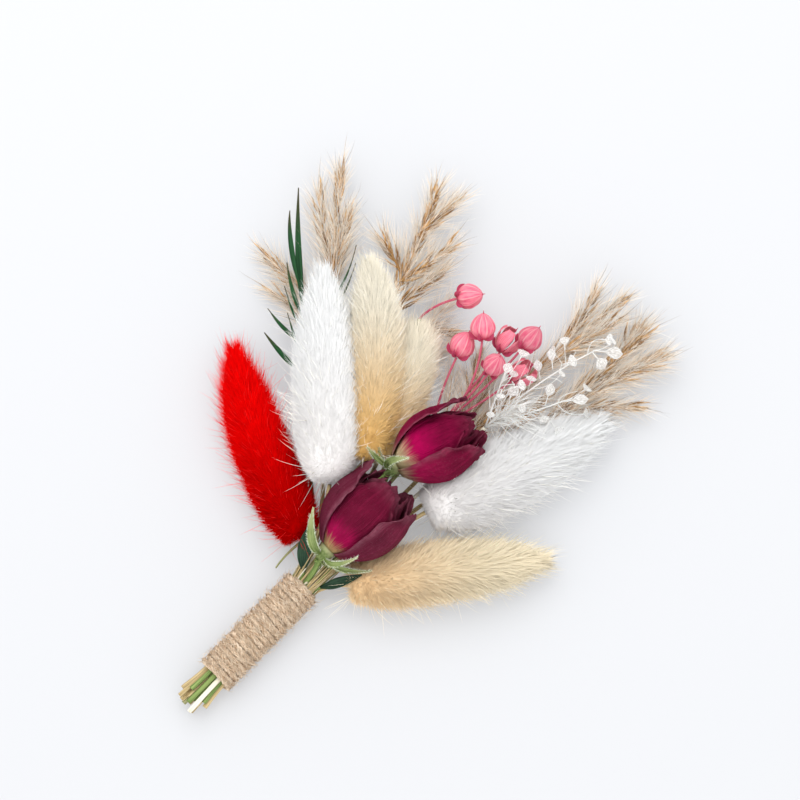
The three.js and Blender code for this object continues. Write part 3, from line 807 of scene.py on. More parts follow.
@dataclass(frozen=True)
class PetalFinish(Finish):
    """A dried rose petal: cream at its foot, magenta over that, and dusty plum at its rim."""

    heart: Colour
    body: Colour
    heart_end: float
    foot: Colour = (0.72, 0.50, 0.22)
    plum: Colour = (0.15, 0.018, 0.042)
    rim: Colour = (0.31, 0.11, 0.15)
    foot_end: float = 0.18

    def surface(self, bench: Bench) -> Socket:
        """The shader of this finish.

        Args:
            bench: adds its nodes.
        Returns:
            The shader.
        """
        x, y = bench.surface()
        veins = bench.grain(64.0, 2.2)
        outer = bench.attribute("tone")
        drift = bench.line(veins, 0.12, bench.sum("SUBTRACT", y, 0.06))
        drift = bench.line(outer, 0.14, drift)
        low = bench.blend(bench.ramp(drift, 0.05, self.foot_end), self.foot, self.heart)
        inner = bench.blend(bench.ramp(drift, self.foot_end, self.heart_end), low, self.body)
        outside = bench.blend(bench.ramp(drift, 0.02, 0.20), low, self.plum)
        colour = bench.blend(outer, inner, outside)
        place = bench.node("TexCoord").outputs["Object"]
        dust, specks, patches = (
            bench.noise(place, *kind) for kind in ((900.0, 4.0), (2600.0, 2.0), (260.0, 3.0))
        )
        edge = bench.ramp(bench.sum("ABSOLUTE", bench.line(x, 2.0, -1.0)), 0.72, 1.0)
        dusty = bench.sum("MAXIMUM", edge, bench.ramp(y, 0.80, 1.0))
        dusty = bench.times(dusty, bench.line(dust, 1.1, -0.1))
        dusty = bench.times(dusty, bench.line(outer, 0.75, 0.25))
        bloom = bench.times(bench.ramp(specks, 0.50, 0.78), bench.line(outer, 0.22, 0.03))
        colour = bench.blend(bench.sum("MAXIMUM", dusty, bloom), colour, self.rim)
        shade = bench.times(bench.line(patches, 0.9, 0.55), bench.line(veins, 0.25, 0.85))
        relief = bench.line(veins, 0.8, bench.times(dust, 1.4))
        normal = {"Normal": bench.bump(relief, 0.0005, 0.8)}
        return bench.body(bench.shade(colour, shade), 0.6, 0.02, 0.15, normal)


@dataclass(frozen=True)
class HuskFinish(Finish):
    """The dyed papery husk of a flax pod, with thin ribs, and its thread."""

    rib: Colour = (0.95, 0.57, 0.57)
    paper: Colour = (0.88, 0.30, 0.37)
    stripe: Colour = (0.78, 0.14, 0.24)
    foot: Colour = (0.62, 0.02, 0.12)

    def surface(self, bench: Bench) -> Socket:
        """The shader of this finish.

        Args:
            bench: adds its nodes.
        Returns:
            The shader.
        """
        grain = bench.grain(30.0, 3.0)
        turn = bench.times(bench.surface()[0], 20 * math.pi)
        ribs = bench.ramp(bench.sum("COSINE", turn), 0.70, 1.0)
        colour = bench.blend(grain, self.stripe, self.paper)
        colour = bench.blend(bench.times(ribs, 0.55), colour, self.rib)
        foot = bench.times(bench.ramp(bench.attribute("mark"), 0.34, 0.02), 0.8)
        colour = bench.blend(foot, colour, self.foot)
        colour = bench.shade(colour, bench.line(bench.attribute("tone"), 0.30, 0.85))
        normal = {"Normal": bench.bump(bench.sum("ADD", grain, ribs), 0.0002, 0.4)}
        return bench.body(colour, 0.5, 0.05, 0.3, normal)


@dataclass(frozen=True)
class FloorFinish(Finish):
    """A plain pale table."""

    shade: Colour = (0.37, 0.374, 0.385)
    glow: Colour = (0.98, 0.985, 1.0)
    glow_strength: float = 0.30

    def surface(self, bench: Bench) -> Socket:
        """The shader of this finish.

        Args:
            bench: adds its nodes.
        Returns:
            The shader.
        """
        glow = {"Emission Color": self.glow, "Emission Strength": self.glow_strength}
        return bench.body(self.shade, 0.7, 0.5, 0.0, glow)


class Fur(Enum):
    """The dyed and natural colours of the grass heads."""

    RED = FurFinish("red_hair", (0.56, 0.0005, 0.0007), (0.97, 0.0016, 0.0014), 0.72, 0.46)
    WHITE = FurFinish("white_hair", (0.89, 0.86, 0.84), (0.96, 0.96, 0.95), 1.0, 0.06)
    CREAM = FurFinish("cream_hair", (0.88, 0.55, 0.19), (0.97, 0.90, 0.74), 0.80, 0.28)
    PALE_CREAM = FurFinish("pale_cream_hair", (0.97, 0.66, 0.30), (0.99, 0.90, 0.72), 0.82, 0.26)
    BEIGE = FurFinish("beige_hair", (1.0, 0.72, 0.42), (1.0, 0.87, 0.63), 0.98, 0.22)


RED_AWN = fibre("red_awn", (0.95, 0.03, 0.03), (0.80, 0.004, 0.004), relief=0.0)
GOLD_AWN = fibre("gold_awn", (0.99, 0.92, 0.76), (0.92, 0.78, 0.55), relief=0.0)
PALE_AWN = fibre("pale_awn", (0.98, 0.96, 0.91), (0.95, 0.90, 0.80), relief=0.0)
JUTE_FIBRE = fibre("jute_fibre", (0.99, 0.87, 0.70), (0.56, 0.37, 0.21), through=0.2)
DOWN = fibre("sepal_down", (0.92, 0.92, 0.84), (0.70, 0.74, 0.60), through=0.3)
AWN = fibre("reed_awn", (0.36, 0.22, 0.12), (0.12, 0.07, 0.04))
SILK = FurFinish("reed_silk", (0.95, 0.76, 0.56), (0.99, 0.93, 0.84), 0.94, 0.40, 0.3)
JUTE = StalkFinish(
    "jute_twine", (0.93, 0.77, 0.59), (0.40, 0.25, 0.14), 9.0, 220.0, roughness=0.8, through=0.1
)
STRAW = StalkFinish("straw_stalk", (0.66, 0.52, 0.28), (0.34, 0.24, 0.10), 9.0, 3.0)
GREEN_STALK = StalkFinish("green_stalk", (0.27, 0.36, 0.11), (0.09, 0.15, 0.035), 8.0, 3.0)
OLIVE_STALK = StalkFinish("olive_stalk", (0.42, 0.40, 0.20), (0.16, 0.18, 0.07), 8.0, 3.0)
PITH = StalkFinish("pith_strip", (0.90, 0.86, 0.74), (0.60, 0.54, 0.38), 7.0, 2.0)
SEPAL = StalkFinish(
    "rose_sepal", (0.34, 0.41, 0.16), (0.13, 0.19, 0.05), 12.0, 4.0, (0.44, 0.45, 0.23),
    through=0.15,
)
DARK_LEAF = StalkFinish(
    "dark_green_leaf", (0.030, 0.070, 0.038), (0.006, 0.020, 0.011), 16.0, 5.0, roughness=0.5
)
GRASS_LEAF = StalkFinish(
    "grass_leaf", (0.032, 0.125, 0.042), (0.008, 0.045, 0.015), 12.0, 2.0, (0.07, 0.06, 0.025),
    roughness=0.45, through=0.12,
)
BLEACHED = StalkFinish(
    "bleached_twig", (0.96, 0.96, 0.94), (0.78, 0.77, 0.74), 8.0, 4.0, through=0.35
)
SKELETON = StalkFinish(
    "skeleton_leaf", (0.86, 0.86, 0.85), (0.72, 0.71, 0.69), 14.0, 6.0, through=0.5, sheer=0.6
)
HUSK_STRAW = StalkFinish(
    "reed_husk", (0.70, 0.40, 0.15), (0.30, 0.15, 0.055), 7.0, 2.0, (0.78, 0.50, 0.24), through=0.15
)
DRY_PETAL = PetalFinish("dry_petal", (0.52, 0.002, 0.092), (0.155, 0.004, 0.028), 0.48)
FRESH_PETAL = PetalFinish(
    "fresh_petal", (0.52, 0.003, 0.095), (0.19, 0.004, 0.036), 0.72,
    foot=(1.0, 0.80, 0.46), plum=(0.17, 0.008, 0.034), foot_end=0.29,
)
HUSK = HuskFinish("flax_husk")


@dataclass(frozen=True)
class Stem:
    """A stem of the bundle: from its cut end straight through the wrap, and on to its head."""

    row: float  # of the rows that are stacked from the table up
    side: float  # which place in the row, from the middle
    cut_back: float  # how much shorter than the longest it was cut
    via: Sequence[Point] = ()
    held: float = 0.36  # the share of its length that keeps its width

    def grow(
        self, pile: Pile, end: Point, radii: Span, tone: float, mark: float | None = None
    ) -> None:
        """Adds the stem.

        Args:
            pile: takes it.
            end: where it ends.
            radii: its radius in the wrap and at its end.
            tone: its tint.
            mark: its mark.
        """
        x, rise = self.side * STEM_PITCH, (self.row - MIDDLE_ROW) * ROW_RISE
        cut_end = (x * 1.25, CUT_END_Y + self.cut_back, HANDLE_Z + rise * 1.1)
        held = [(x, share * MOUTH_Y, HANDLE_Z + rise) for share in (-1, 0, 0.8, 1)]
        route = Route.through(cut_end, *held, *self.via, end)

        def radius(t: Array) -> Array:
            """Its width, with its own small unevenness."""
            uneven = 1 + 0.05 * np.sin(t * 61) * np.sin(t * 23 + 1)
            return mix(*radii, ease(t, self.held, 1)) * uneven

        pile.take(tube(route, radius, 10, 48), tone, mark)


@dataclass
class TwineWrap:
    """Three-ply jute, wound in tight uneven turns round the stems, with its loose fibres."""

    plies: int = 3
    ply_radius: float = 0.45
    ply_reach: float = 0.40  # from the cord's middle to the middle of a ply
    lay_length: float = 3.6  # of cord, for each turn of the plies round each other
    fibres: int = 3400
    fibre_radii: Span = (0.03, 0.075)
    loose: float = 0.22  # the share of them that stand off the turns
    seed: int = 11

    def centre(self, turns: Array, under: bool = False) -> tuple[Array, Array, Array]:
        """The cord's middle line, and the directions out of and along the handle.

        Args:
            turns: how many turns from the middle of the handle.
            under: whether it is the layer below, which lies between the turns.
        Returns:
            Places, outward directions and sideways directions.
        """
        angle = FULL_TURN * turns - np.pi / 2
        turns = turns + (0.5 if under else 0)
        outward = np.stack([np.cos(angle), 0 * angle, np.sin(angle)], -1)
        whole = np.stack([turns * 0.9, 0 * turns + 3.1, 0 * turns], -1)
        swell = 0.20 * wavy(whole, 0.9) + 0.14 * wavy(whole, 3.1, 5.0)
        below = ease(-outward[:, 2], 0.8, 1.0)
        reach = WINDING_RADIUS + swell * (1 - below) - (0.58 if under else 0.08)
        slant = 0.16 + 0.95 * wavy(whole * vec(1, 0, 0), 0.55, 17.0)
        y = TWINE_PITCH * turns + 0.30 * wavy(whole, 1.7, 9.0) + slant * np.sin(angle + 0.6)
        place = scaled(outward, reach) + np.stack([0 * y, y, 0 * y + HANDLE_Z], -1)
        return place, outward, np.broadcast_to(vec(0, 1, 0), place.shape)

    def ply(self, k: int, under: bool = False) -> Shell:
        """One of the plies that twist round each other.

        Args:
            k: which ply.
            under: whether it is in the layer below.
        Returns:
            The closed ply.
        """
        half = (TWINE_TURNS - (0.8 if under else 0)) / 2
        lays = FULL_TURN * WINDING_RADIUS / self.lay_length
        sides, steps = (4, 14) if under else (6, 26)

        def place(u: Array, v: Array) -> Array:
            """The ply's points.

            Args:
                u: how far across each point is.
                v: how far along.
            Returns:
                The points.
            """
            turns = mix(-half, half, v)
            middle, outward, sideways = self.centre(turns, under)
            twist = FULL_TURN * (turns * lays + k / self.plies)
            thick = self.ply_radius * (1 + 0.12 * np.sin(turns * 23 + 2 * k) * np.sin(turns * 7.3))
            middle = middle + around(outward, sideways, twist, self.ply_reach)
            return middle + around(outward, sideways, FULL_TURN * u, thick)

        return sheet(sides, TWINE_TURNS * steps, place, round_shut=True)

    def fuzz(self, pile: Pile) -> None:
        """Lays short fibres over the turns, and a few that stand off them.

        Args:
            pile: takes the fibres.
        """
        draw = np.random.default_rng(self.seed)
        count = self.fibres
        turns = draw.uniform(-TWINE_TURNS / 2, TWINE_TURNS / 2, count)
        middle, outward, sideways = self.centre(turns)
        along = scaled(np.cross(outward, sideways), draw.choice([-1, 1], count))
        free = draw.random(count) < self.loose
        length = np.where(free, draw.uniform(1.2, 3.6, count), draw.uniform(1.2, 3.4, count))
        lift = np.where(free, draw.uniform(0.2, 0.9, count), draw.uniform(0.0, 0.20, count))
        root = middle + scaled(outward, draw.uniform(0.64, 0.84, count))
        root = root + scaled(sideways, draw.uniform(-0.6, 0.6, count))
        drift = scaled(sideways, 0.22 + draw.normal(0, np.where(free, 0.6, 0.24)))
        sag = 0.8 * length**2 / (2 * WINDING_RADIUS) * ~free
        tip = root + scaled(along + drift, length) + scaled(outward, lift - sag)
        bow = (root + tip) / 2 + scaled(outward, np.where(free, 0.5, 0.30))
        radii = draw.uniform(*self.fibre_radii, count)
        Strand(2).lay(pile, root, bow, tip, radii, draw.uniform(0.2, 1.0, count), 0 * length)

    def build(self) -> None:
        """Makes the wrap."""
        pile = Pile()
        for k in range(self.plies):
            pile.take(self.ply(k), 0.40 + 0.10 * k)
            # the layer below, seen in the grooves between the turns, takes a lower tone: painted
            # shade in the grooves
            pile.take(self.ply(k, under=True), 0.10 * k)
        pile.finish = 1
        self.fuzz(pile)
        pile.piece("jute_wrap", "jute", ["twine_wrap"], JUTE, JUTE_FIBRE)


@dataclass(frozen=True)
class Coat:
    """One layer of a head's dense hair."""

    joints: int
    sizes: Span  # least and greatest, as shares of the full growth
    stray: float
    radii: Span
    lit: float  # how far it takes the shading of the whole coat


WOOL = Coat(1, (0.55, 0.95), 0.12, (0.07, 0.11), 0.96)
HAIR = Coat(2, (0.75, 1.35), 0.20, (0.04, 0.07), 0.90)


@dataclass
class BunnyTail:
    """A head of hare's-tail grass on its stem: a slim core under dense hair."""

    name: str
    fur: Fur
    slot: str
    base: Point
    bow: Point
    tip: Point
    core: float
    lock: float  # how long its hair grows
    stem: Stem
    seed: int
    foot_width: float = 0.66  # the width at its base, against its widest
    bluntness: float = 1.35  # how far its width lasts towards its tip
    clumping: float = 0.18  # how far its hairs are drawn together into locks
    nap: float = 0.8  # how far its coat stands off its ground
    undercoat: int = 12600
    overcoat: int = 4000
    long_hairs: int = 360
    widest: float = 0.24
    foot: float = -0.012  # where the profile closes behind the base
    step: float = 0.006  # over which the profile's slope is taken
    locks: int = 260
    lock_reach: float = 2.6
    wisp_lengths: Span = (4.0, 9.5)
    wisp_leans: Span = (0.3, 1.5)  # along the head, against straight out
    wisp_radii: Span = (0.032, 0.055)

    @property
    def axis(self) -> Route:
        """The middle line of the head."""
        return Route.bowed(self.base, self.bow, self.tip)

    def fullness(self, t: Array) -> Array:
        """How full the head is at t, from its rounded foot to its narrow tip.

        Args:
            t: shares of its length.
        Returns:
            Its width at each, as a share of the greatest.
        """
        narrowing = 1 - self.foot_width**2
        before = np.sqrt(np.maximum(1 - narrowing * (1 - t / self.widest) ** 2, 0))
        onward = np.clip((t - self.widest) / (1 - self.widest), 0, 1) ** self.bluntness
        after = np.maximum(0.16, np.maximum(np.cos(np.pi / 2 * onward), 0) ** 0.75)
        closing = np.sqrt(np.clip(1 - (np.minimum(t, 0) / self.foot) ** 2, 0, 1))
        return np.where(t < self.widest, before, after) * closing

    def skin(self, t: Array, turn: Array) -> tuple[Array, Array, Array]:
        """Points of the fleece's ground, and the directions out of it and along it.

        Args:
            t: how far along each is.
            turn: the angle of each round the axis.
        Returns:
            Places, outward directions and directions along.
        """
        centre, along, across, over = self.axis.frames(t)
        outward = around(across, over, turn)
        reach = self.core + (1.4 - 0.94 * self.nap) * self.lock
        radius = np.maximum(reach * self.fullness(t), 0.3)
        slope = (self.fullness(t + self.step) - self.fullness(t - self.step)) * reach
        slope = np.clip(slope / (2 * self.step * self.axis.length), -0.6, 4.0)
        normal = unit(outward - scaled(along, slope))
        return centre + scaled(outward, radius), normal, along

    def spots(self, count: int, draw: Draw) -> tuple[Array, Array, Array, Array]:
        """Places spread evenly over the head.

        Args:
            count: how many.
            draw: the head's own random numbers.
        Returns:
            How far along each is, and what skin says of it.
        """
        t = np.linspace(self.foot, 0.998, 600)
        wide = self.fullness(t) * self.core + np.where(t < 0.02, 6.0, 1.0)
        along = np.interp(draw.random(count), np.cumsum(wide) / wide.sum(), t)
        return along, *self.skin(along, draw.uniform(0, FULL_TURN, count))

    def growth(self, t: Array, normal: Array, along: Array) -> Array:
        """The way that a hair at t grows from its root to its tip.

        Args:
            t: how far along the head each hair is.
            normal: the way out of the coat there.
            along: the way along it.
        Returns:
            A step for each hair.
        """
        out = self.nap * mix(0.45, 0.94, ease(t, self.foot, 0.108)) * mix(1, 0.5, ease(t, 0.7, 1))
        forward = mix(0.60, 1.75, t) * ease(t, self.foot, 0.168)
        return scaled(normal, self.lock * out) + scaled(along, self.lock * forward)

    def coat(self, pile: Pile, draw: Draw, count: int, layer: Coat) -> None:
        """Lays the dense hair: short straight wool, or finer bowed hair above it.

        Args:
            pile: takes the hair.
            draw: the head's own random numbers.
            count: how many hairs.
            layer: what they are like.
        """
        t, spot, normal, along = self.spots(count, draw)
        lock_t, lock_spot, *lock_ways = self.spots(self.locks, draw)
        lock_tip = lock_spot + self.growth(lock_t, *lock_ways)
        gaps = np.linalg.norm(spot[:, None] - lock_spot[None], axis=-1)
        nearest = gaps.argmin(1)
        size = draw.uniform(*layer.sizes, count)
        way = self.growth(t, normal, along)
        stray = scaled(draw.normal(0, layer.stray, (count, 3)), np.linalg.norm(way, axis=1))
        tip = spot + scaled(way + stray, size)
        gathered = draw.uniform(0, 2 * self.clumping, count) * (gaps.min(1) < self.lock_reach)
        tip = mix(tip, mix(spot, lock_tip[nearest], size[:, None]), gathered[:, None])
        root = spot - normal * 0.5
        bow = mix(root, tip, 0.5) + scaled(normal, 0.2 * np.linalg.norm(tip - root, axis=1))
        tone = mix(draw.random(count), draw.random(self.locks)[nearest], 0.35)
        radii = draw.uniform(*layer.radii, count)
        faced = unit(normal + along * 0.25 + UP * 0.5) * layer.lit
        marks = np.clip(t, 0, 1)
        Strand(layer.joints).lay(pile, root, bow, tip, radii, tone, marks, leans=faced)

    def wisps(self, pile: Pile, draw: Draw) -> None:
        """Lays the long fine hairs that stand out of the coat, shorter where they point up.

        Args:
            pile: takes the hairs.
            draw: the head's own random numbers.
        """
        count = self.long_hairs
        t, spot, normal, along = self.spots(count, draw)
        length = draw.uniform(*self.wisp_lengths, count) * mix(1, 0.6, ease(t, 0.75, 1))
        length = length * mix(1, 0.5, ease(normal[:, 2], 0.2, 1))
        lean = draw.uniform(*self.wisp_leans, count) * ease(t, -0.05, 0.1)
        way = unit(normal + scaled(along, lean) + draw.normal(0, 0.16, (count, 3)))
        tip = spot + scaled(way, length)
        tip[:, 2] = np.maximum(tip[:, 2], draw.uniform(0.1, 1.0, count))
        bow = mix(spot, tip, 0.5) + scaled(normal, 0.10 * length)
        radii, tones = draw.uniform(*self.wisp_radii, count), draw.uniform(0.5, 1.0, count)
        Strand(3).lay(pile, spot, bow, tip, radii, tones, np.clip(t, 0, 1))

    def build(self) -> None:
        """Makes the head and its stem."""
        draw = np.random.default_rng(self.seed)
        pile = Pile()

        def place(u: Array, v: Array) -> Array:
            """The core's points."""
            spot, normal, _ = self.skin(mix(self.foot, 1.0, v), FULL_TURN * u)
            return spot - normal * 0.25

        # the core under the hair: a tone a little below the middle, with the hair's painted root
        # shade along its length, darkest at its foot, as painted shade
        pile.take(sheet(20, 40, place, round_shut=True), 0.45)
        self.coat(pile, draw, self.undercoat, WOOL)
        self.coat(pile, draw, self.overcoat, HAIR)
        pile.finish = 1
        self.wisps(pile, draw)
        awns = {Fur.RED: RED_AWN, Fur.BEIGE: GOLD_AWN}.get(self.fur, PALE_AWN)
        pile.piece(self.name + "_fur", self.slot, [self.name], self.fur.value, awns)
        foot = self.base - self.axis.heading(0)[0] * TAIL_HEEL
        seat = foot - unit(self.bow - foot) * SEAT_GAP
        stalk = Pile()
        self.stem.grow(stalk, seat, (STEM_RADIUS, 0.5), 0.2 + 0.12 * self.seed)
        stalk.piece(self.name + "_stalk", "straw_stem", [self.name + "_stem"], STRAW)


TAILS = [
    BunnyTail(
        "red_tail", Fur.RED, "red_fur", (-9.1, 24.6, 6.4), (-34, 31.6, 6.9), (-53, 45.2, 6.4),
        4.5, 2.7, Stem(3, -2, 1.0, [(-4.6, 20.4, 5.0)]), 1,
        foot_width=0.74, clumping=0.12, long_hairs=420,
    ),
    BunnyTail(
        "white_tail_left", Fur.WHITE, "white_fur",
        (-13.2, 38.6, 13), (-31.4, 57, 15.5), (-50.4, 73.8, 12.5),
        5.3, 2.9, Stem(4, -1.5, -0.8, [(-4.4, 23, 7.4), (-8.4, 31.4, 10)]), 2,
        foot_width=0.5, clumping=0.03, nap=0.45, undercoat=17500, overcoat=2600, long_hairs=460,
    ),
    BunnyTail(
        "cream_tail_upper", Fur.CREAM, "cream_fur",
        (-11, 48.8, 13.6), (-28.4, 73.4, 15.8), (-43.4, 83.4, 13),
        4.2, 2.6, Stem(4, -0.5, 0.6, [(-2.9, 24, 6.9), (-8.2, 36.6, 6.8), (-10.4, 43.6, 9.6)]), 3,
    ),
    BunnyTail(
        "cream_tail_lower", Fur.PALE_CREAM, "cream_fur",
        (-8.6, 50.8, 7.6), (-18.6, 73, 8), (-24.2, 80.6, 9),
        4.1, 2.4, Stem(3, -1, -1.2, [(-2.6, 28, 5.4), (-5.4, 40, 6)]), 4,
        foot_width=0.9, bluntness=2.8, undercoat=10500,
    ),
    BunnyTail(
        "white_tail_right", Fur.WHITE, "white_fur",
        (9.2, 50.6, 8.2), (17.6, 72, 7.8), (24.4, 95.6, 7.2),
        5.7, 3.1, Stem(3, 1, 0.2, [(3.6, 26, 5.0), (6.3, 40, 6.2)]), 5,
        foot_width=0.58, clumping=0.04, nap=0.6, undercoat=14500, overcoat=3800, long_hairs=460,
    ),
    BunnyTail(
        "beige_tail", Fur.BEIGE, "beige_fur", (8.2, 24.4, 6), (23, 44, 8.4), (37.8, 61.6, 6.6),
        4.9, 2.8, Stem(3, 2, 1.4, [(4.6, 20, 5.1)]), 6, clumping=0.22, nap=1.0,
    ),
]


@dataclass(frozen=True)
class Petal:
    """One petal: its place round the bud, and how it spreads, stands off and curls."""

    angle: float  # in degrees round the bud, -90 faces up
    half_angle: float
    height: float
    inset: float
    edge: float
    flare: float
    outer: float  # 0 for the magenta inside, 1 for the plum outside


PETALS = [
    Petal(*numbers)
    for numbers in (
        (40, 62, 0.99, 2.5, 0.3, -0.8, 0.7),
        (160, 62, 1.0, 2.5, 0.3, -0.8, 0.7),
        (280, 62, 0.98, 2.5, 0.3, -0.8, 0.5),
        (-90, 50, 0.94, 1.1, 0.1, 0.1, 0.0),
        (62, 44, 1.0, 1.3, 0.1, 0.6, 0.6),
        (132, 40, 0.93, 1.3, 0.1, 0.1, 0.7),
        (-163, 43, 1.0, 0.0, 0.5, 0.3, 1.0),
        (-9, 54, 0.93, -0.3, -0.5, -0.4, 0.9),
        (96, 38, 0.9, 0.0, 0.9, 0.8, 0.9),
        (0, 70, 0.95, 3.7, 0.4, -0.6, 0.7),
        (120, 70, 0.92, 4.0, 0.4, -0.5, 0.8),
        (240, 70, 0.96, 3.7, 0.4, -0.4, 0.7),
        (60, 90, 0.88, 5.2, 0.3, -0.3, 0.9),
        (250, 90, 0.90, 5.3, 0.3, -0.3, 0.9),
    )
]


@dataclass
class RoseBud:
    """A dried rosebud in layers of petals, with its hip, sepals and stem."""

    name: str
    base: Array
    tip: Array
    radius: float
    turn: float
    stem: Stem
    sepals: Sequence[tuple[Point, Point, float]]
    seed: int
    finish: PetalFinish
    openness: float = 0.0  # how much wider its top is
    dryness: Span = (0.25, 1.0)  # how plum its inner and its outer petals have gone
    wall: float = 0.2
    threads: int = 9
    hip_length: float = 3.2
    sepal_twist: float = 0.5
    sepal_fold: float = 0.34
    down_hairs: int = 150  # along the edges of each sepal
    down_radius: float = 0.05
    down_lengths: Span = (0.35, 0.9)

    def profile(self, h: Array) -> Array:
        """The bud's radius at height h, a share of its length."""
        return self.radius * (0.28 + 3.3 * h - 4.55 * h**2 + 1.64 * h**3 + self.openness * h**2)

    def directions(self) -> tuple[Array, Array, Array]:
        """The way that the bud stands.

        Returns:
            Its own X, Y and long directions.
        """
        along = unit(self.tip - self.base)
        axis = unit(np.cross(UP, along))
        cos, sin = along[2], math.sin(math.acos(along[2]))
        x_way, y_way = (
            way * cos + np.cross(axis, way) * sin + axis * (axis @ way) * (1 - cos)
            for way in (vec(1, 0, 0), vec(0, 1, 0))
        )
        return x_way, y_way, along

    def petal(self, shape: Petal, k: int) -> Shell:
        """One petal, wrinkled as it dried.

        Args:
            shape: its place and spread.
            k: its number, for its own wrinkles.
        Returns:
            The closed petal.
        """
        x_way, y_way, along = self.directions()
        length = np.linalg.norm(self.tip - self.base)
        rim_roll = 0.85 if shape.outer > 0.8 else 0.45

        def place(u: Array, v: Array) -> Array:
            """The petal's points.

            Args:
                u: how far across each point is.
                v: how far along.
            Returns:
                The points.
            """
            side = 2 * u - 1
            v = mix(0.015, 1.0, v)
            flat = np.stack([side * 6, v * 9, 0 * v + 3.7 * k], -1)

            def waves(stretch: Point, scale: float, seed: float) -> Array:
                """Noise over the petal, stretched by a factor each way."""
                return wavy(flat * vec(*stretch), scale, seed + self.seed)

            spread = shape.half_angle * mix(0.85, 1, ease(v, 0, 0.45))
            spread = spread * mix(1, 0.7, ease(v, 0.7, 1))
            spread = spread * (1 + 0.06 * waves((0, 1, 1), 0.5, 3.0))
            angle = np.radians(shape.angle + self.turn + spread * side)
            ragged = 0.05 * waves((1, 0, 1), 0.55, 8.0) * ease(v, 0.45, 1)
            h = shape.height * v * (1 - 0.2 * side**2 * v**2) + ragged
            ripple = 0.2 * np.sin(2.6 * np.pi * side + shape.angle) * v**2
            wrinkle = 0.55 * waves((1, 1, 1), 0.30, 2.0) * ease(v, 0.1, 0.7)
            folds = np.abs(waves((1, 0.22, 1), 0.8, 4.0))
            fine = np.abs(waves((1, 0.3, 1), 2.0, 9.0))
            crease = (0.44 * folds + 0.28 * fine) * ease(v, 0.05, 0.5)
            rim = np.maximum(ease(np.abs(side), 0.74, 1.0), ease(v, 0.84, 1.0)) * ease(v, 0.2, 0.6)
            crimp = 0.5 + waves((1, 1, 1), 0.75, 6.0) + 0.5 * wavy(flat, 1.7, 1.0)
            curl = shape.edge * side**2 * ease(v, 0.15, 0.5) + shape.flare * ease(v, 0.75, 1)
            reach = self.profile(h) - shape.inset + curl + ripple + wrinkle - crease
            reach = np.maximum(reach + rim * crimp * rim_roll, 0.5)
            outward = around(x_way, y_way, angle, reach)
            return self.base + outward + scaled(along, h * length)

        return sheet(26, 24, place, thickness=self.wall)

    def sepal(self, pile: Pile, root: Array, elbow: Point, tip: Point, width: float) -> None:
        """A lance-shaped sepal with a downy edge.

        Args:
            pile: takes it.
            root: where it starts.
            elbow: the point that it bows towards.
            tip: where it ends.
            width: its full width.
        """
        draw = np.random.default_rng(self.seed + int(width * 10))
        midrib = Route.bowed(root, elbow, tip)
        pile.finish = 0
        pile.take(blade(midrib, width, 0.5, self.sepal_fold, 0.3, self.sepal_twist, 22), 0.5)
        pile.finish = 1
        count = self.down_hairs
        t = draw.uniform(0.12, 1.0, count)
        share = np.where(t < 0.5, t / 0.5, (1 - t) / 0.5)
        half = width / 2 * np.sin(np.pi / 2 * np.clip(share, 0, 1))
        side = draw.choice([-1.0, 1.0], count)
        rise = self.sepal_fold * width * np.sin(np.pi * np.clip(t, 0.1, 1))
        edge, way, across = folded(midrib, t, half * side, rise, self.sepal_twist)
        way = unit(way + scaled(across, side * 0.7) + draw.normal(0, 0.35, (count, 3)))
        far = edge + scaled(way, draw.uniform(*self.down_lengths, count))
        radii, tones = np.full(count, self.down_radius), np.full(count, 0.9)
        Strand(2).lay(pile, edge, mix(edge, far, 0.5), far, radii, tones, t)

    def green(self) -> Pile:
        """The stem, the hip, the sepals and the dry threads under the bud.

        Returns:
            All of them.
        """
        pile = Pile()
        along = unit(self.tip - self.base)
        hip_top = self.base - along * SEAT_GAP
        hip_foot = hip_top - along * self.hip_length
        middle = mix(hip_foot, hip_top, 0.5)
        pile.finish = 2
        self.stem.grow(pile, mix(hip_foot, hip_top, 0.3), (0.62, 0.72), 0.3)
        pile.finish = 0
        hip = Route.bowed(hip_foot, middle, hip_top + along * 0.6)
        pile.take(tube(hip, lambda t: mix(0.8, 2.1, np.sin(np.pi / 2 * t)), 14, 8), 0.3)
        for sepal in self.sepals:
            self.sepal(pile, middle, *sepal)
        draw = np.random.default_rng(self.seed + 5)
        pile.finish = 2
        for _ in range(self.threads):
            turn = draw.uniform(0, 2 * math.pi)
            outward = unit(np.cross(along, vec(math.cos(turn), math.sin(turn), 0.3)))
            far = hip_foot + outward * draw.uniform(3, 6) + along * draw.uniform(-3, 4)
            elbow = hip_foot + outward * draw.uniform(2, 4) + draw.normal(0, 1.2, 3)
            thread = Route.bowed(hip_foot + outward * 0.5, elbow, far)
            pile.take(tube(thread, (0.18, 0.07), 5, 10), draw.random())
        return pile

    def build(self) -> None:
        """Makes the bud and its green."""
        bloom = Pile()
        for k, shape in enumerate(PETALS):
            bloom.take(self.petal(shape, k), mix(*self.dryness, shape.outer))
        bloom.piece(self.name + "_bloom", "rose_petal", [self.name + "_petals"], self.finish)
        finishes = SEPAL, DOWN, GREEN_STALK
        self.green().piece(self.name + "_calyx", "rose_green", [self.name + "_green"], *finishes)


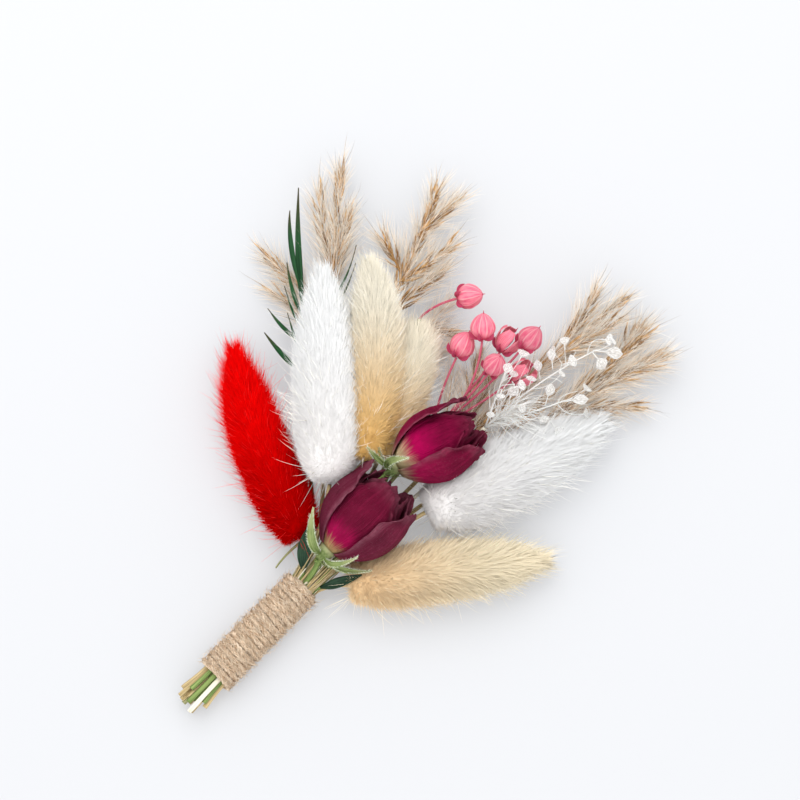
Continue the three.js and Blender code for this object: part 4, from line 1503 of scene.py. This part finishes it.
ROSES = [
    RoseBud(
        "rose_front", vec(-1.4, 26.2, 14.8), vec(-0.2, 49.5, 17.4), 10.3, -5,
        Stem(5, 0, -0.4, [(-0.4, 19.6, 9.6)]),
        [
            ((-4.6, 22.4, 20.4), (-10.8, 30.7, 22.6), 2.1),
            ((3.2, 22.0, 18.8), (5.4, 29.6, 23.6), 1.3),
            ((4.6, 23.0, 13.2), (9.7, 30.0, 13.8), 1.2),
        ],
        3, DRY_PETAL, openness=0.13,
    ),
    RoseBud(
        "rose_back", vec(-4.0, 52.6, 14.8), vec(3.2, 74.2, 18.8), 8.9, -30,
        Stem(4, 0.5, 0.8, [(0.6, 29, 5.7), (-1.7, 41, 5.5), (-3.8, 48.4, 8.2)]),
        [
            ((-8.0, 50.4, 17.2), (-12.0, 50.6, 19.6), 1.4),
            ((-6.8, 50.4, 20.0), (-2.6, 55.4, 25.0), 2.1),
            ((-8.4, 50.4, 14.6), (-9.8, 52.8, 17.4), 1.3),
        ],
        7, FRESH_PETAL, dryness=(0.0, 0.66),
    ),
]


@dataclass
class FlaxSpray:
    """Dyed flax: ribbed papery pods on threads."""

    name: str
    node: str
    stem: Stem
    end: Point
    pods: Sequence[tuple[Point, Point]]
    open_pods: Sequence[int] = ()
    pod_radius: float = 3.0
    parts: int = 5  # of an opened husk, and of the green cup under a pod

    def pod(self, pile: Pile, centre: Array, way: Array, k: int) -> None:
        """A round pod with ten ribs and a pointed beak.

        Args:
            pile: takes the pod.
            centre: its middle.
            way: the direction from its thread to its beak.
            k: its number, for its own size and tint.
        """
        draw = np.random.default_rng(40 + k)
        size = self.pod_radius * draw.uniform(0.93, 1.05)
        foot = centre - way * size
        route = Route.bowed(foot, centre, centre + way * size * 1.16)

        def belly(v: Array) -> Array:
            """The pod's radius at v."""
            round_part = np.sin(np.pi * np.clip(mix(0.005, 0.985, v), 0, 1) ** 0.92) ** 0.58
            return size * np.maximum(round_part, 0.04)

        def place(u: Array, v: Array) -> Array:
            """The points of a pod that is shut.

            Args:
                u: how far across each point is.
                v: how far along.
            Returns:
                The points.
            """
            middle, _, across, over = route.frames(v)
            turn = FULL_TURN * u
            ribs = 1 + 0.05 * np.abs(np.cos(5 * turn + k)) + 0.025 * np.cos(10 * turn)
            flat = np.stack([np.cos(turn) * 4, np.sin(turn) * 4, v * 6 + 5 * k], -1)
            reach = belly(v) * (ribs - 0.04) * (1 + 0.07 * wavy(flat, 0.4, 1.5))
            return middle + around(across, over, turn, reach)

        def valve(start: float) -> Callable[[Array, Array], Array]:
            """One of the papery parts of a pod that has opened.

            Args:
                start: the share of the turn where it starts.
            Returns:
                What gives its points.
            """

            def leaf(u: Array, v: Array) -> Array:
                """The part's points.

                Args:
                    u: how far across each point is.
                    v: how far along.
                Returns:
                    The points.
                """
                middle, _, across, over = route.frames(v * 0.95)
                turn = FULL_TURN * (start + (0.01 + 0.18 * u) * mix(1, 0.7, ease(v, 0.5, 1)))
                away = 1 + 0.20 * ease(v, 0.45, 1) - 0.06 * np.cos(np.pi * (2 * u - 1))
                return middle + around(across, over, turn, belly(np.clip(v * 0.84, 0, 1)) * away)

            return leaf

        if k in self.open_pods:
            for part in range(self.parts):
                pile.take(sheet(7, 14, valve(part / self.parts), thickness=0.16), draw.random())
        else:
            pile.take(sheet(40, 16, place, round_shut=True), draw.random())
        _, _, across, over = (x[0] for x in route.frames(vec(0.1)))
        for part in range(self.parts):
            turn = 2 * math.pi * (part + 0.5) / self.parts
            outward = across * math.cos(turn) + over * math.sin(turn)
            elbow = foot + way * size * 0.1 + outward * size
            tip = foot + way * size * 0.75 + outward * size * 1.06
            cup = Route.bowed(foot + outward * 0.3, elbow, tip)
            pile.take(blade(cup, 1.2, 0.5, 0.05, 0.14, 0.0, 8), 0.2, 0.1)
        beak = Route.bowed(*(centre + way * size * share for share in (1, 1.2, 1.42)))
        pile.take(tube(beak, (0.22, 0.06), 6, 4), 0.3, 0.1)

    def build(self) -> None:
        """Makes the spray."""
        pile = Pile()
        pile.finish = 1
        self.stem.grow(pile, self.end, (STEM_RADIUS, 0.5), 0.5, 0.7)
        pile.finish = 0
        for k, (centre, elbow) in enumerate(self.pods):
            thread = Route.bowed(self.end, elbow, centre)
            reach = 1 - self.pod_radius * 0.9 / thread.length
            pile.take(tube(thread, (0.30, 0.30), 7, 14, end=reach), 0.5, 0.2)
            self.pod(pile, np.array(centre), thread.heading(1)[0], k)
        pile.piece(self.name, "pink_flax", [self.node], HUSK, OLIVE_STALK)


FLAX = [
    FlaxSpray(
        "flax_spray_pods", "flax_spray",
        Stem(3, 0, 1.8, [(-0.8, 29, 4.3), (-2.4, 43, 4.0), (-3.3, 58, 4.2)]), (-4.2, 66, 4.6),
        [
            ((-12.6, 91.8, 15.6), (-1.6, 80, 10)),
            ((-13.4, 85.4, 11.8), (-9.4, 72, 6.4)),
            ((-6.0, 93.9, 12.6), (-4.2, 80, 7.6)),
            ((-2.4, 98.0, 15.2), (-1.2, 82, 8.6)),
            ((-4.1, 87.0, 16.6), (-3.0, 78.6, 7.0)),
            ((2.0, 90.6, 12.2), (0.2, 80, 6.4)),
        ],
        open_pods=(2, 5),
    ),
    FlaxSpray(
        "flax_stalk_pod", "flax_stalk_left",
        Stem(2, -0.5, -1.5, [(-1.4, 26, 3.1), (-4.6, 44, 2.4), (-10, 60, 1.7), (-20.4, 74, 1.9)]),
        (-26.2, 83.4, 5), [((-20.8, 95.4, 11.6), (-26.2, 89, 8))],
    ),
]


@dataclass
class BleachedSpray:
    """A bleached white spray: forked wiry twigs, small oval leaflets and a web of fine wires."""

    stem: Stem = Stem(5, 1, -2.0, ((2.0, 26, 6.5), (2.9, 40, 4.8), (4.4, 54, 4.2), (4.6, 66, 5.2)))
    end: Point = (4.7, 75, 8.4)
    seed: int = 31
    wires: int = 120
    sprigs: int = 11  # on each twig
    wire_lengths: Span = (7, 17)
    wire_radii: Span = (0.055, 0.10)
    wire_heights: Span = (7, 21)  # of their ends
    twigs: Sequence[tuple[Point, Point]] = (
        ((5.6, 92, 15), (11.2, 107.6, 15)),
        ((9.6, 84, 13), (15.2, 95, 12.6)),
        ((1.6, 82, 17), (-0.6, 87, 21.6)),
    )
    leaflets: Sequence[tuple[Point, Point, float]] = (
        ((10.6, 106.8, 15), (16.6, 111.2, 15.6), 2.6),
        ((10.8, 106.4, 15), (15.8, 105.6, 14.6), 2.8),
        ((7.8, 99.0, 14.6), (9.4, 102.2, 16.2), 2.6),
        ((7.0, 96.4, 14.2), (3.0, 99.6, 16.8), 1.8),
        ((6.4, 92.6, 13.4), (2.6, 95.0, 19.2), 1.8),
        ((0.4, 85.4, 20), (-1.4, 89.4, 22.6), 2.0),
        ((2.6, 81.8, 14.6), (4.2, 87.2, 17.6), 2.2),
        ((13.6, 92.2, 12.4), (18.2, 97.6, 13.6), 2.2),
        ((11.6, 89, 12.2), (9.2, 93.8, 15), 2.0),
    )

    def leaflet(self, pile: Pile, root: Point, tip: Point, width: float) -> None:
        """An oval leaflet at the end of a thin stalk.

        Args:
            pile: takes it.
            root: where the stalk starts.
            tip: where the leaflet ends.
            width: how wide it is.
        """
        start, end = np.array(root), np.array(tip)
        middle = mix(start, end, 0.45) + vec(0, 0, 0.6)
        stalk = Route.bowed(start, mix(start, middle, 0.6), middle)
        pile.take(tube(stalk, (0.14, 0.14), 5, 5), 0.6)
        oval = Route.bowed(mix(start, middle, 0.9), mix(middle, end, 0.4) + vec(0, 0, 0.7), end)
        pile.finish = 2
        pile.take(blade(oval, width * 1.2, 0.6, 0.12, 0.12, 0.2, 12), 0.8)
        pile.finish = 0

    def sprig(self, pile: Pile, twig: Route, t: float, draw: Draw) -> None:
        """A thin curled side shoot, more often than not with a leaflet at its end.

        Args:
            pile: takes it.
            twig: what it grows on.
            t: where along the twig.
            draw: the spray's own random numbers.
        """
        centre, along, across, over = (x[0] for x in twig.frames(vec(t)))
        way = along * draw.uniform(0.4, 1.2) + across * draw.normal(0, 0.8)
        far = centre + unit(way + over * draw.normal(0.1, 0.4)) * draw.uniform(3.0, 7.5)
        bow = mix(centre, far, 0.5) + draw.normal(0, 1.3, 3)
        pile.take(tube(Route.bowed(centre, bow, far), (0.11, 0.07), 5, 10), 0.7)
        if draw.random() < 0.6:
            end = far + unit(far - bow) * draw.uniform(2.4, 3.8)
            self.leaflet(pile, far, end, draw.uniform(1.7, 2.6))

    def web(self, pile: Pile, draw: Draw) -> None:
        """Lays the fine tangled wires at the spray's foot.

        Args:
            pile: takes the wires.
            draw: the spray's own random numbers.
        """
        count = self.wires
        t = draw.uniform(0.72, 1.0, count)
        stalk = Route.through((4.4, 54, 6.2), (4.6, 66, 7.2), self.end, (6.4, 84, 12.0))
        centre, along, across, over = stalk.frames(t)
        way = scaled(along, draw.uniform(0.2, 1.0, count))
        way = way + scaled(across, draw.normal(0.35, 0.6, count))
        way = unit(way + scaled(over, draw.normal(0.15, 0.35, count)))
        tip = centre + scaled(way, draw.uniform(*self.wire_lengths, count))
        tip[:, 2] = np.clip(tip[:, 2], *self.wire_heights)
        bow = mix(centre, tip, 0.5) + draw.normal(0, 2.2, (count, 3))
        radii = draw.uniform(*self.wire_radii, count)
        leans = np.tile(UP * 0.4, (count, 1))
        Strand(6).lay(pile, centre, bow, tip, radii, draw.uniform(0.7, 1.0, count), t, leans=leans)

    def build(self) -> None:
        """Makes the spray."""
        pile = Pile()
        draw = np.random.default_rng(self.seed)
        pile.finish = 1
        self.stem.grow(pile, self.end, (STEM_RADIUS, 0.45), 0.6)
        pile.finish = 0
        for elbow, tip in self.twigs:
            twig = Route.bowed(self.end, elbow, tip)
            pile.take(tube(twig, (0.26, 0.12), 7, 20), 0.6)
            for t in draw.uniform(0.2, 1.0, self.sprigs):
                self.sprig(pile, twig, t, draw)
        for leaflet in self.leaflets:
            self.leaflet(pile, *leaflet)
        self.web(pile, draw)
        pile.piece("bleached_spray", "bleached_spray", ["white_spray"], BLEACHED, PITH, SKELETON)


@dataclass
class ReedPlume:
    """A reed plume: side branches set with slim husks, with long silky hair between them."""

    name: str
    stem: Stem
    end: Point
    tip: Point
    branches: Sequence[tuple[Point, Point]]
    seed: int
    tufts: Sequence[tuple[Point, Point]] = ()  # branches with silk only
    spacing: float = 0.85  # between husks along a branch
    hairs: int = 24  # of silk, for each husk
    husk_lengths: Span = (4.5, 8.5)
    husk_radii: Span = (0.14, 0.28)
    awn_lengths: Span = (2.0, 7.0)
    awn_radii: Span = (0.036, 0.056)
    silk_lengths: Span = (4.0, 12.5)
    silk_radii: Span = (0.030, 0.054)
    silk_lit: float = 0.55  # how far the silk catches the light from above as one soft mass

    def branch(
        self, pile: Pile, root: Point, tip: Point, fullness: float, draw: Draw, bare: bool = False
    ) -> None:
        """One branch with its husks and silk.

        Args:
            pile: takes the branch.
            root: where it leaves the stalk.
            tip: where it ends.
            fullness: how far its husks stand off, against a side branch.
            draw: the plume's own random numbers.
            bare: whether it has silk only.
        """
        a, b = np.array(root, float), np.array(tip, float)
        route = Route.bowed(a, mix(a, b, 0.5) + UP + draw.normal(0, 0.8, 3), b)
        pile.finish = 0
        pile.take(tube(route, (0.34, 0.10), 6, 16), 0.5, 0.35)
        count = int(route.length / self.spacing)
        t = 0.96 * (np.arange(count) + draw.random(count)) / count
        turn = np.arange(count) * GOLDEN_ANGLE + draw.normal(0, 0.4, count)
        centre, along, across, over = route.frames(t)
        outward = around(across, over, turn)
        spread = draw.uniform(0.10, 0.42, count) * fullness * mix(1, 0.4, ease(t, 0.6, 1))
        way = unit(along + scaled(outward, spread) + draw.normal(0, 0.05, (count, 3)))
        size = draw.uniform(*self.husk_lengths, count) * mix(1, 0.75, t)
        start = centre + outward * 0.2
        end = start + scaled(way, size)
        bow = mix(start, end, 0.45) + scaled(outward, 0.10 * size)
        radii = draw.uniform(*self.husk_radii, count)
        if not bare:
            tones = draw.uniform(0.1, 1.0, count)
            Strand(4, 4, 1.8).lay(pile, start, bow, end, radii, tones, 0 * t, 0.6)
            onward = unit(way + outward * 0.16 + draw.normal(0, 0.18, (count, 3)))
            far = end + scaled(onward, draw.uniform(*self.awn_lengths, count))
            pile.finish = 2
            self.fine(pile, end - way, far, draw, self.awn_radii)
        pile.finish = 1
        centre, outward, way, size, t = (
            np.repeat(values, self.hairs, 0) for values in (centre, outward, way, size, t)
        )
        many = len(t)
        spots = centre + scaled(way, size * draw.uniform(0, 0.7, many))
        spots = spots + scaled(outward, draw.uniform(0, 0.7, many))
        fan = way + draw.normal(0, 0.21, (many, 3))
        fan = unit(fan + scaled(outward, draw.uniform(0, 0.42, many)))
        grown = draw.uniform(*self.silk_lengths, many) * mix(1.1, 0.55, t)
        far = spots + scaled(fan, grown)
        self.fine(pile, spots, far, draw, self.silk_radii, self.silk_lit)

    def fine(
        self, pile: Pile, roots: Array, tips: Array, draw: Draw, thickness: Span, lit: float = 0.0
    ) -> None:
        """Lays fine hairs with a slight bow.

        Args:
            pile: takes the hairs.
            roots: where they start.
            tips: where they end.
            draw: the plume's own random numbers.
            thickness: their least and greatest radius.
            lit: how far they take the light from above.
        """
        count = len(roots)
        tips = tips.copy()
        tips[:, 2] = np.maximum(tips[:, 2], draw.uniform(0.1, 0.8, count))
        length = np.linalg.norm(tips - roots, axis=1)
        bow = mix(roots, tips, 0.5) + scaled(draw.normal(0, 0.06, (count, 3)), length)
        radii = draw.uniform(*thickness, count)
        tones, marks = draw.random(count), draw.random(count)
        leans = np.tile(UP * lit, (count, 1))
        Strand(2).lay(pile, roots, bow, tips, radii, tones, marks, leans=leans)

    def build(self) -> None:
        """Makes the plume."""
        draw = np.random.default_rng(self.seed)
        pile = Pile()
        pile.finish = 3
        self.stem.grow(pile, self.end, (STEM_RADIUS, 0.5), 0.4, 0.4)
        self.branch(pile, self.end, self.tip, 1.25, draw)
        for ends in self.branches:
            self.branch(pile, *ends, 1.0, draw)
        for ends in self.tufts:
            self.branch(pile, *ends, 1.3, draw, bare=True)
        pile.piece(self.name + "_silk", "reed", [self.name], HUSK_STRAW, SILK, AWN, STRAW)


PLUMES = [
    ReedPlume(
        "plume_left", Stem(1, -1, 0.4, [(-7, 28, 2.3), (-22, 45.5, 2.0), (-36, 61, 2.0)]),
        (-45.5, 71.4, 3.4), (-66.4, 96.4, 6.6),
        [
            ((-50.4, 77.2, 4.2), (-65.8, 88.0, 5.6)),
            ((-48.4, 74.8, 4.0), (-56.6, 89.4, 6.4)),
            ((-42.6, 68.4, 3.0), (-64.6, 68.0, 2.6)),
            ((-38.6, 64.2, 2.4), (-56.6, 63.2, 2.2)),
        ],
        20,
    ),
    ReedPlume(
        "plume_centre", Stem(1, 0, -0.6, [(-2.4, 25, 1.3), (-14, 57, 1.9), (-25.5, 71, 2.4)]),
        (-34.8, 83.4, 4), (-46.2, 110.4, 7),
        [
            ((-36.4, 86.4, 4.4), (-33.4, 101.6, 8)),
            ((-32.2, 80.4, 3.8), (-30.0, 95.4, 7)),
            ((-37.4, 88.4, 4.6), (-46.4, 91.4, 6.4)),
            ((-41.2, 97.4, 5.4), (-40.4, 109.4, 8)),
            ((-28.6, 76.6, 1.9), (-18.2, 87.0, 2.0)),
        ],
        30,
        [((-22.0, 66.6, 2.2), (-16.4, 83.0, 3.0)), ((-24.0, 69.0, 2.2), (-24.0, 92.0, 3.4))],
    ),
    ReedPlume(
        "plume_right_upper", Stem(2, 0.5, 1.1, [(1, 30, 3.3), (1.6, 50, 2.8), (1.6, 66, 2.8)]),
        (2.4, 78, 3.4), (7, 123.4, 8),
        [
            ((1.8, 71, 2.8), (-8.8, 86.4, 4.6)),
            ((4.0, 104, 6), (0.8, 118.4, 8.6)),
            ((3.4, 92, 4.8), (8.6, 108.6, 7.2)),
            ((4.0, 100, 6.2), (9.4, 116, 9.6)),
            ((1.6, 66.0, 3.0), (-3.0, 86.0, 3.4)),
            ((3.0, 70.0, 3.0), (4.6, 92.0, 4.2)),
        ],
        40,
        [((1.4, 60.0, 3.0), (-10.6, 79.0, 3.6))],
    ),
    ReedPlume(
        "plume_right_lower", Stem(1, 1, -1.8, [(3.4, 30, 2.0), (7.4, 55, 1.2), (10.8, 71, 1.1)]),
        (13.6, 84, 2.2), (16.6, 121, 7),
        [
            ((15.6, 93, 4), (22.6, 118.6, 6.4)),
            ((16.6, 104, 5), (24.0, 117.8, 7.8)),
            ((15.2, 91, 3.6), (27.4, 105.4, 4.6)),
            ((16.8, 106, 4.6), (14.2, 119.6, 4.6)),
            ((9.4, 66.0, 1.4), (10.0, 92.0, 3.2)),
        ],
        50,
    ),
]


@dataclass
class Greenery:
    """The leafy grass behind the left white head, and the two dark leaves at the neck."""

    stem: Stem = Stem(2, -1.5, -0.2, [(-8.6, 27.4, 3.6), (-24, 41.6, 4.2), (-38, 54.4, 5)])
    end: Point = (-48.6, 64.8, 7.2)
    blades: Sequence[tuple[Point, Point, Point, float]] = (
        ((-47.6, 64.0, 7.0), (-58.4, 72.6, 9.4), (-70.3, 85.2, 10.2), 1.5),
        ((-52.4, 67.8, 8.2), (-62.4, 73.4, 11.4), (-67.4, 79.6, 12.0), 1.1),
        ((-42.2, 58.4, 6.0), (-48.6, 57.4, 7.4), (-54.6, 58.6, 8.4), 1.1),
        ((-36.8, 53.4, 5.0), (-43.4, 52.4, 6.4), (-51.0, 53.8, 8.0), 1.3),
        ((-44.0, 60.6, 6.4), (-49.0, 61.6, 9.0), (-55.4, 65.4, 10.0), 0.7),
        ((-46.6, 63.2, 6.8), (-52.6, 64.8, 9.2), (-59.0, 70.0, 10.4), 0.8),
        ((-39.6, 56.0, 5.6), (-44.4, 57.6, 8.6), (-50.2, 61.2, 9.4), 0.7),
        ((-44.0, 60.6, 6.4), (-40.5, 70.0, 8.0), (-46.6, 81.5, 12.8), 0.8),
        ((-45.0, 61.6, 6.6), (-42.0, 72.0, 8.6), (-49.6, 85.0, 12.0), 0.8),
    )
    twig: Sequence[Point] = ((-7.6, 26.4, 3.4), (-9.2, 19.8, 2.4), (-8.2, 14.2, 2.6))
    neck_leaves: Sequence[tuple[str, float, Stem, Sequence[Point]]] = (
        (
            "left", 3.4, Stem(5, -1, 2.4),
            ((-2.2, 18.2, 8.1), (-5.6, 21.4, 11.4), (-9.2, 28.4, 13.2)),
        ),
        (
            "right", 2.3, Stem(4, 1.5, 2.1),
            ((3.3, 18.4, 6.9), (5.6, 21.4, 9.4), (8.6, 27.6, 12.4)),
        ),
    )

    def build(self) -> None:
        """Makes all the greenery."""
        pile = Pile()
        self.stem.grow(pile, self.end, (STEM_RADIUS, 0.4), 0.8)
        for k, (*points, width) in enumerate(self.blades):
            leaf = blade(Route.bowed(*points), width, 0.42, 0.18, 0.25, 0.6 * (-1) ** k, 22)
            pile.take(leaf, 0.15 + 0.13 * k)
        pile.finish = 1
        pile.take(tube(Route.bowed(*self.twig), (0.42, 0.22), 7, 12), 0.9)
        pile.piece("grass_blades", "grass_blade", ["grass_leaves"], GRASS_LEAF, OLIVE_STALK)
        for side, width, stem, points in self.neck_leaves:
            pile = Pile()
            pile.finish = 1
            stem.grow(pile, points[0], (STEM_RADIUS, 0.45), 0.5)
            pile.finish = 0
            pile.take(blade(Route.bowed(*points), width, 0.5, 0.22, 0.3, 0.3, 22), 0.5)
            finishes = DARK_LEAF, GREEN_STALK
            pile.piece("dark_leaf_" + side, "dark_leaf", ["neck_leaf_" + side], *finishes)


@dataclass
class NeckSheaths:
    """The dry leaf sheaths that cling to the stems above the twine, and their frayed ends."""

    straws: int = 120
    half_widths: Span = (0.12, 0.32)
    ends: Span = (22.5, 29)  # how far along the handle they reach
    seed: int = 71

    def build(self) -> None:
        """Makes the sheaths."""
        draw = np.random.default_rng(self.seed)
        pile = Pile()
        for _ in range(self.straws):
            turn = draw.uniform(-0.2, math.pi + 0.2)
            reach = BUNDLE_RADIUS * draw.uniform(0.35, 0.95)
            x, z = reach * math.cos(turn), HANDLE_Z + reach * math.sin(turn)
            spread = draw.uniform(0.9, 1.5)
            middle = vec(x * spread - 0.3, 19.5, z + draw.uniform(0.2, 2.2))
            far_y = draw.uniform(*self.ends)
            far = vec(x * spread * 1.2 - 0.6, far_y, z + draw.uniform(0.5, 5.4))
            pile.finish = int(draw.choice([0, 0, 0, 1, 2, 3]))
            width = draw.uniform(*self.half_widths)
            straw = tube(Route.bowed(vec(x, 14.4, z), middle, far), (width, width / 2), 5, 8, 0.6)
            pile.take(straw, draw.random())
        pile.piece("neck_sheaths", "straw_stem", [], STRAW, GREEN_STALK, OLIVE_STALK, PITH)


@dataclass
class Studio:
    """The table, the light and the camera over the bunch."""

    target: Point = (-15.2, 65.3, 0.0)
    up: Point = (-0.7009, 0.7133, 0)  # the way that is up in the picture
    shift_up: float = 0.8
    distance: float = 900.0
    tilt: float = 6.0  # degrees from straight down
    lens: float = 162.0
    window: Point = (-300, 260, 640)
    window_size: float = 560.0
    window_power: float = 2.4
    room: tuple[float, ...] = (0.975, 0.985, 1.0, 1)
    room_strength: float = 1.40

    def camera(self) -> None:
        """Looks down on the bunch from where the photograph was taken."""
        up = vec(*self.up)
        lean = math.radians(self.tilt)
        back = UP * math.cos(lean) - up * math.sin(lean)
        place = vec(*self.target) + up * self.shift_up + back * self.distance
        data = bpy.data.cameras.new("camera")
        data.sensor_width, data.lens, data.clip_end = 36, self.lens, 10
        back = Vector(unit(back))
        side = Vector(unit(np.cross(up, np.array(back))))
        top = back.cross(side)
        turned = [[side[k], top[k], back[k], place[k] * MM] for k in range(3)] + [[0, 0, 0, 1]]
        made = placed("camera", data)
        made.matrix_world = Matrix(turned)
        bpy.context.scene.camera = made

    def light(self) -> None:
        """Hangs a soft square light that faces the bunch, in a pale room."""
        data = bpy.data.lights.new("window", "AREA")
        data.size = self.window_size * MM
        data.energy = self.window_power
        made = placed("window", data)
        made.location = Vector(self.window) * MM
        towards = Vector(self.target) * MM - made.location
        made.rotation_euler = towards.to_track_quat("-Z", "Y").to_euler()
        world = bpy.data.worlds.new("soft_room")
        world.use_nodes = True
        inputs = world.node_tree.nodes["Background"].inputs
        inputs["Color"].default_value = self.room
        inputs["Strength"].default_value = self.room_strength
        bpy.context.scene.world = world

    def build(self) -> None:
        """Sets up the table, the lights and the camera."""
        bm = bmesh.new()
        bmesh.ops.create_grid(bm, x_segments=1, y_segments=1, size=3.0)
        mesh = bpy.data.meshes.new("table")
        bm.to_mesh(mesh)
        bm.free()
        mesh.materials.append(FloorFinish("pale_table").material())
        table = placed("table", mesh)
        self.light()
        bpy.context.scene.view_settings.view_transform = "Standard"
        self.camera()


def main() -> None:
    """Builds the studio and every piece of the bunch, in order."""
    logging.basicConfig(level=logging.INFO, format="%(message)s")
    makers = [Studio(), TwineWrap(), NeckSheaths(), *TAILS, *ROSES, *FLAX, BleachedSpray(), *PLUMES]
    for maker in [*makers, Greenery()]:
        maker.build()


if __name__ == "__main__":
    main()
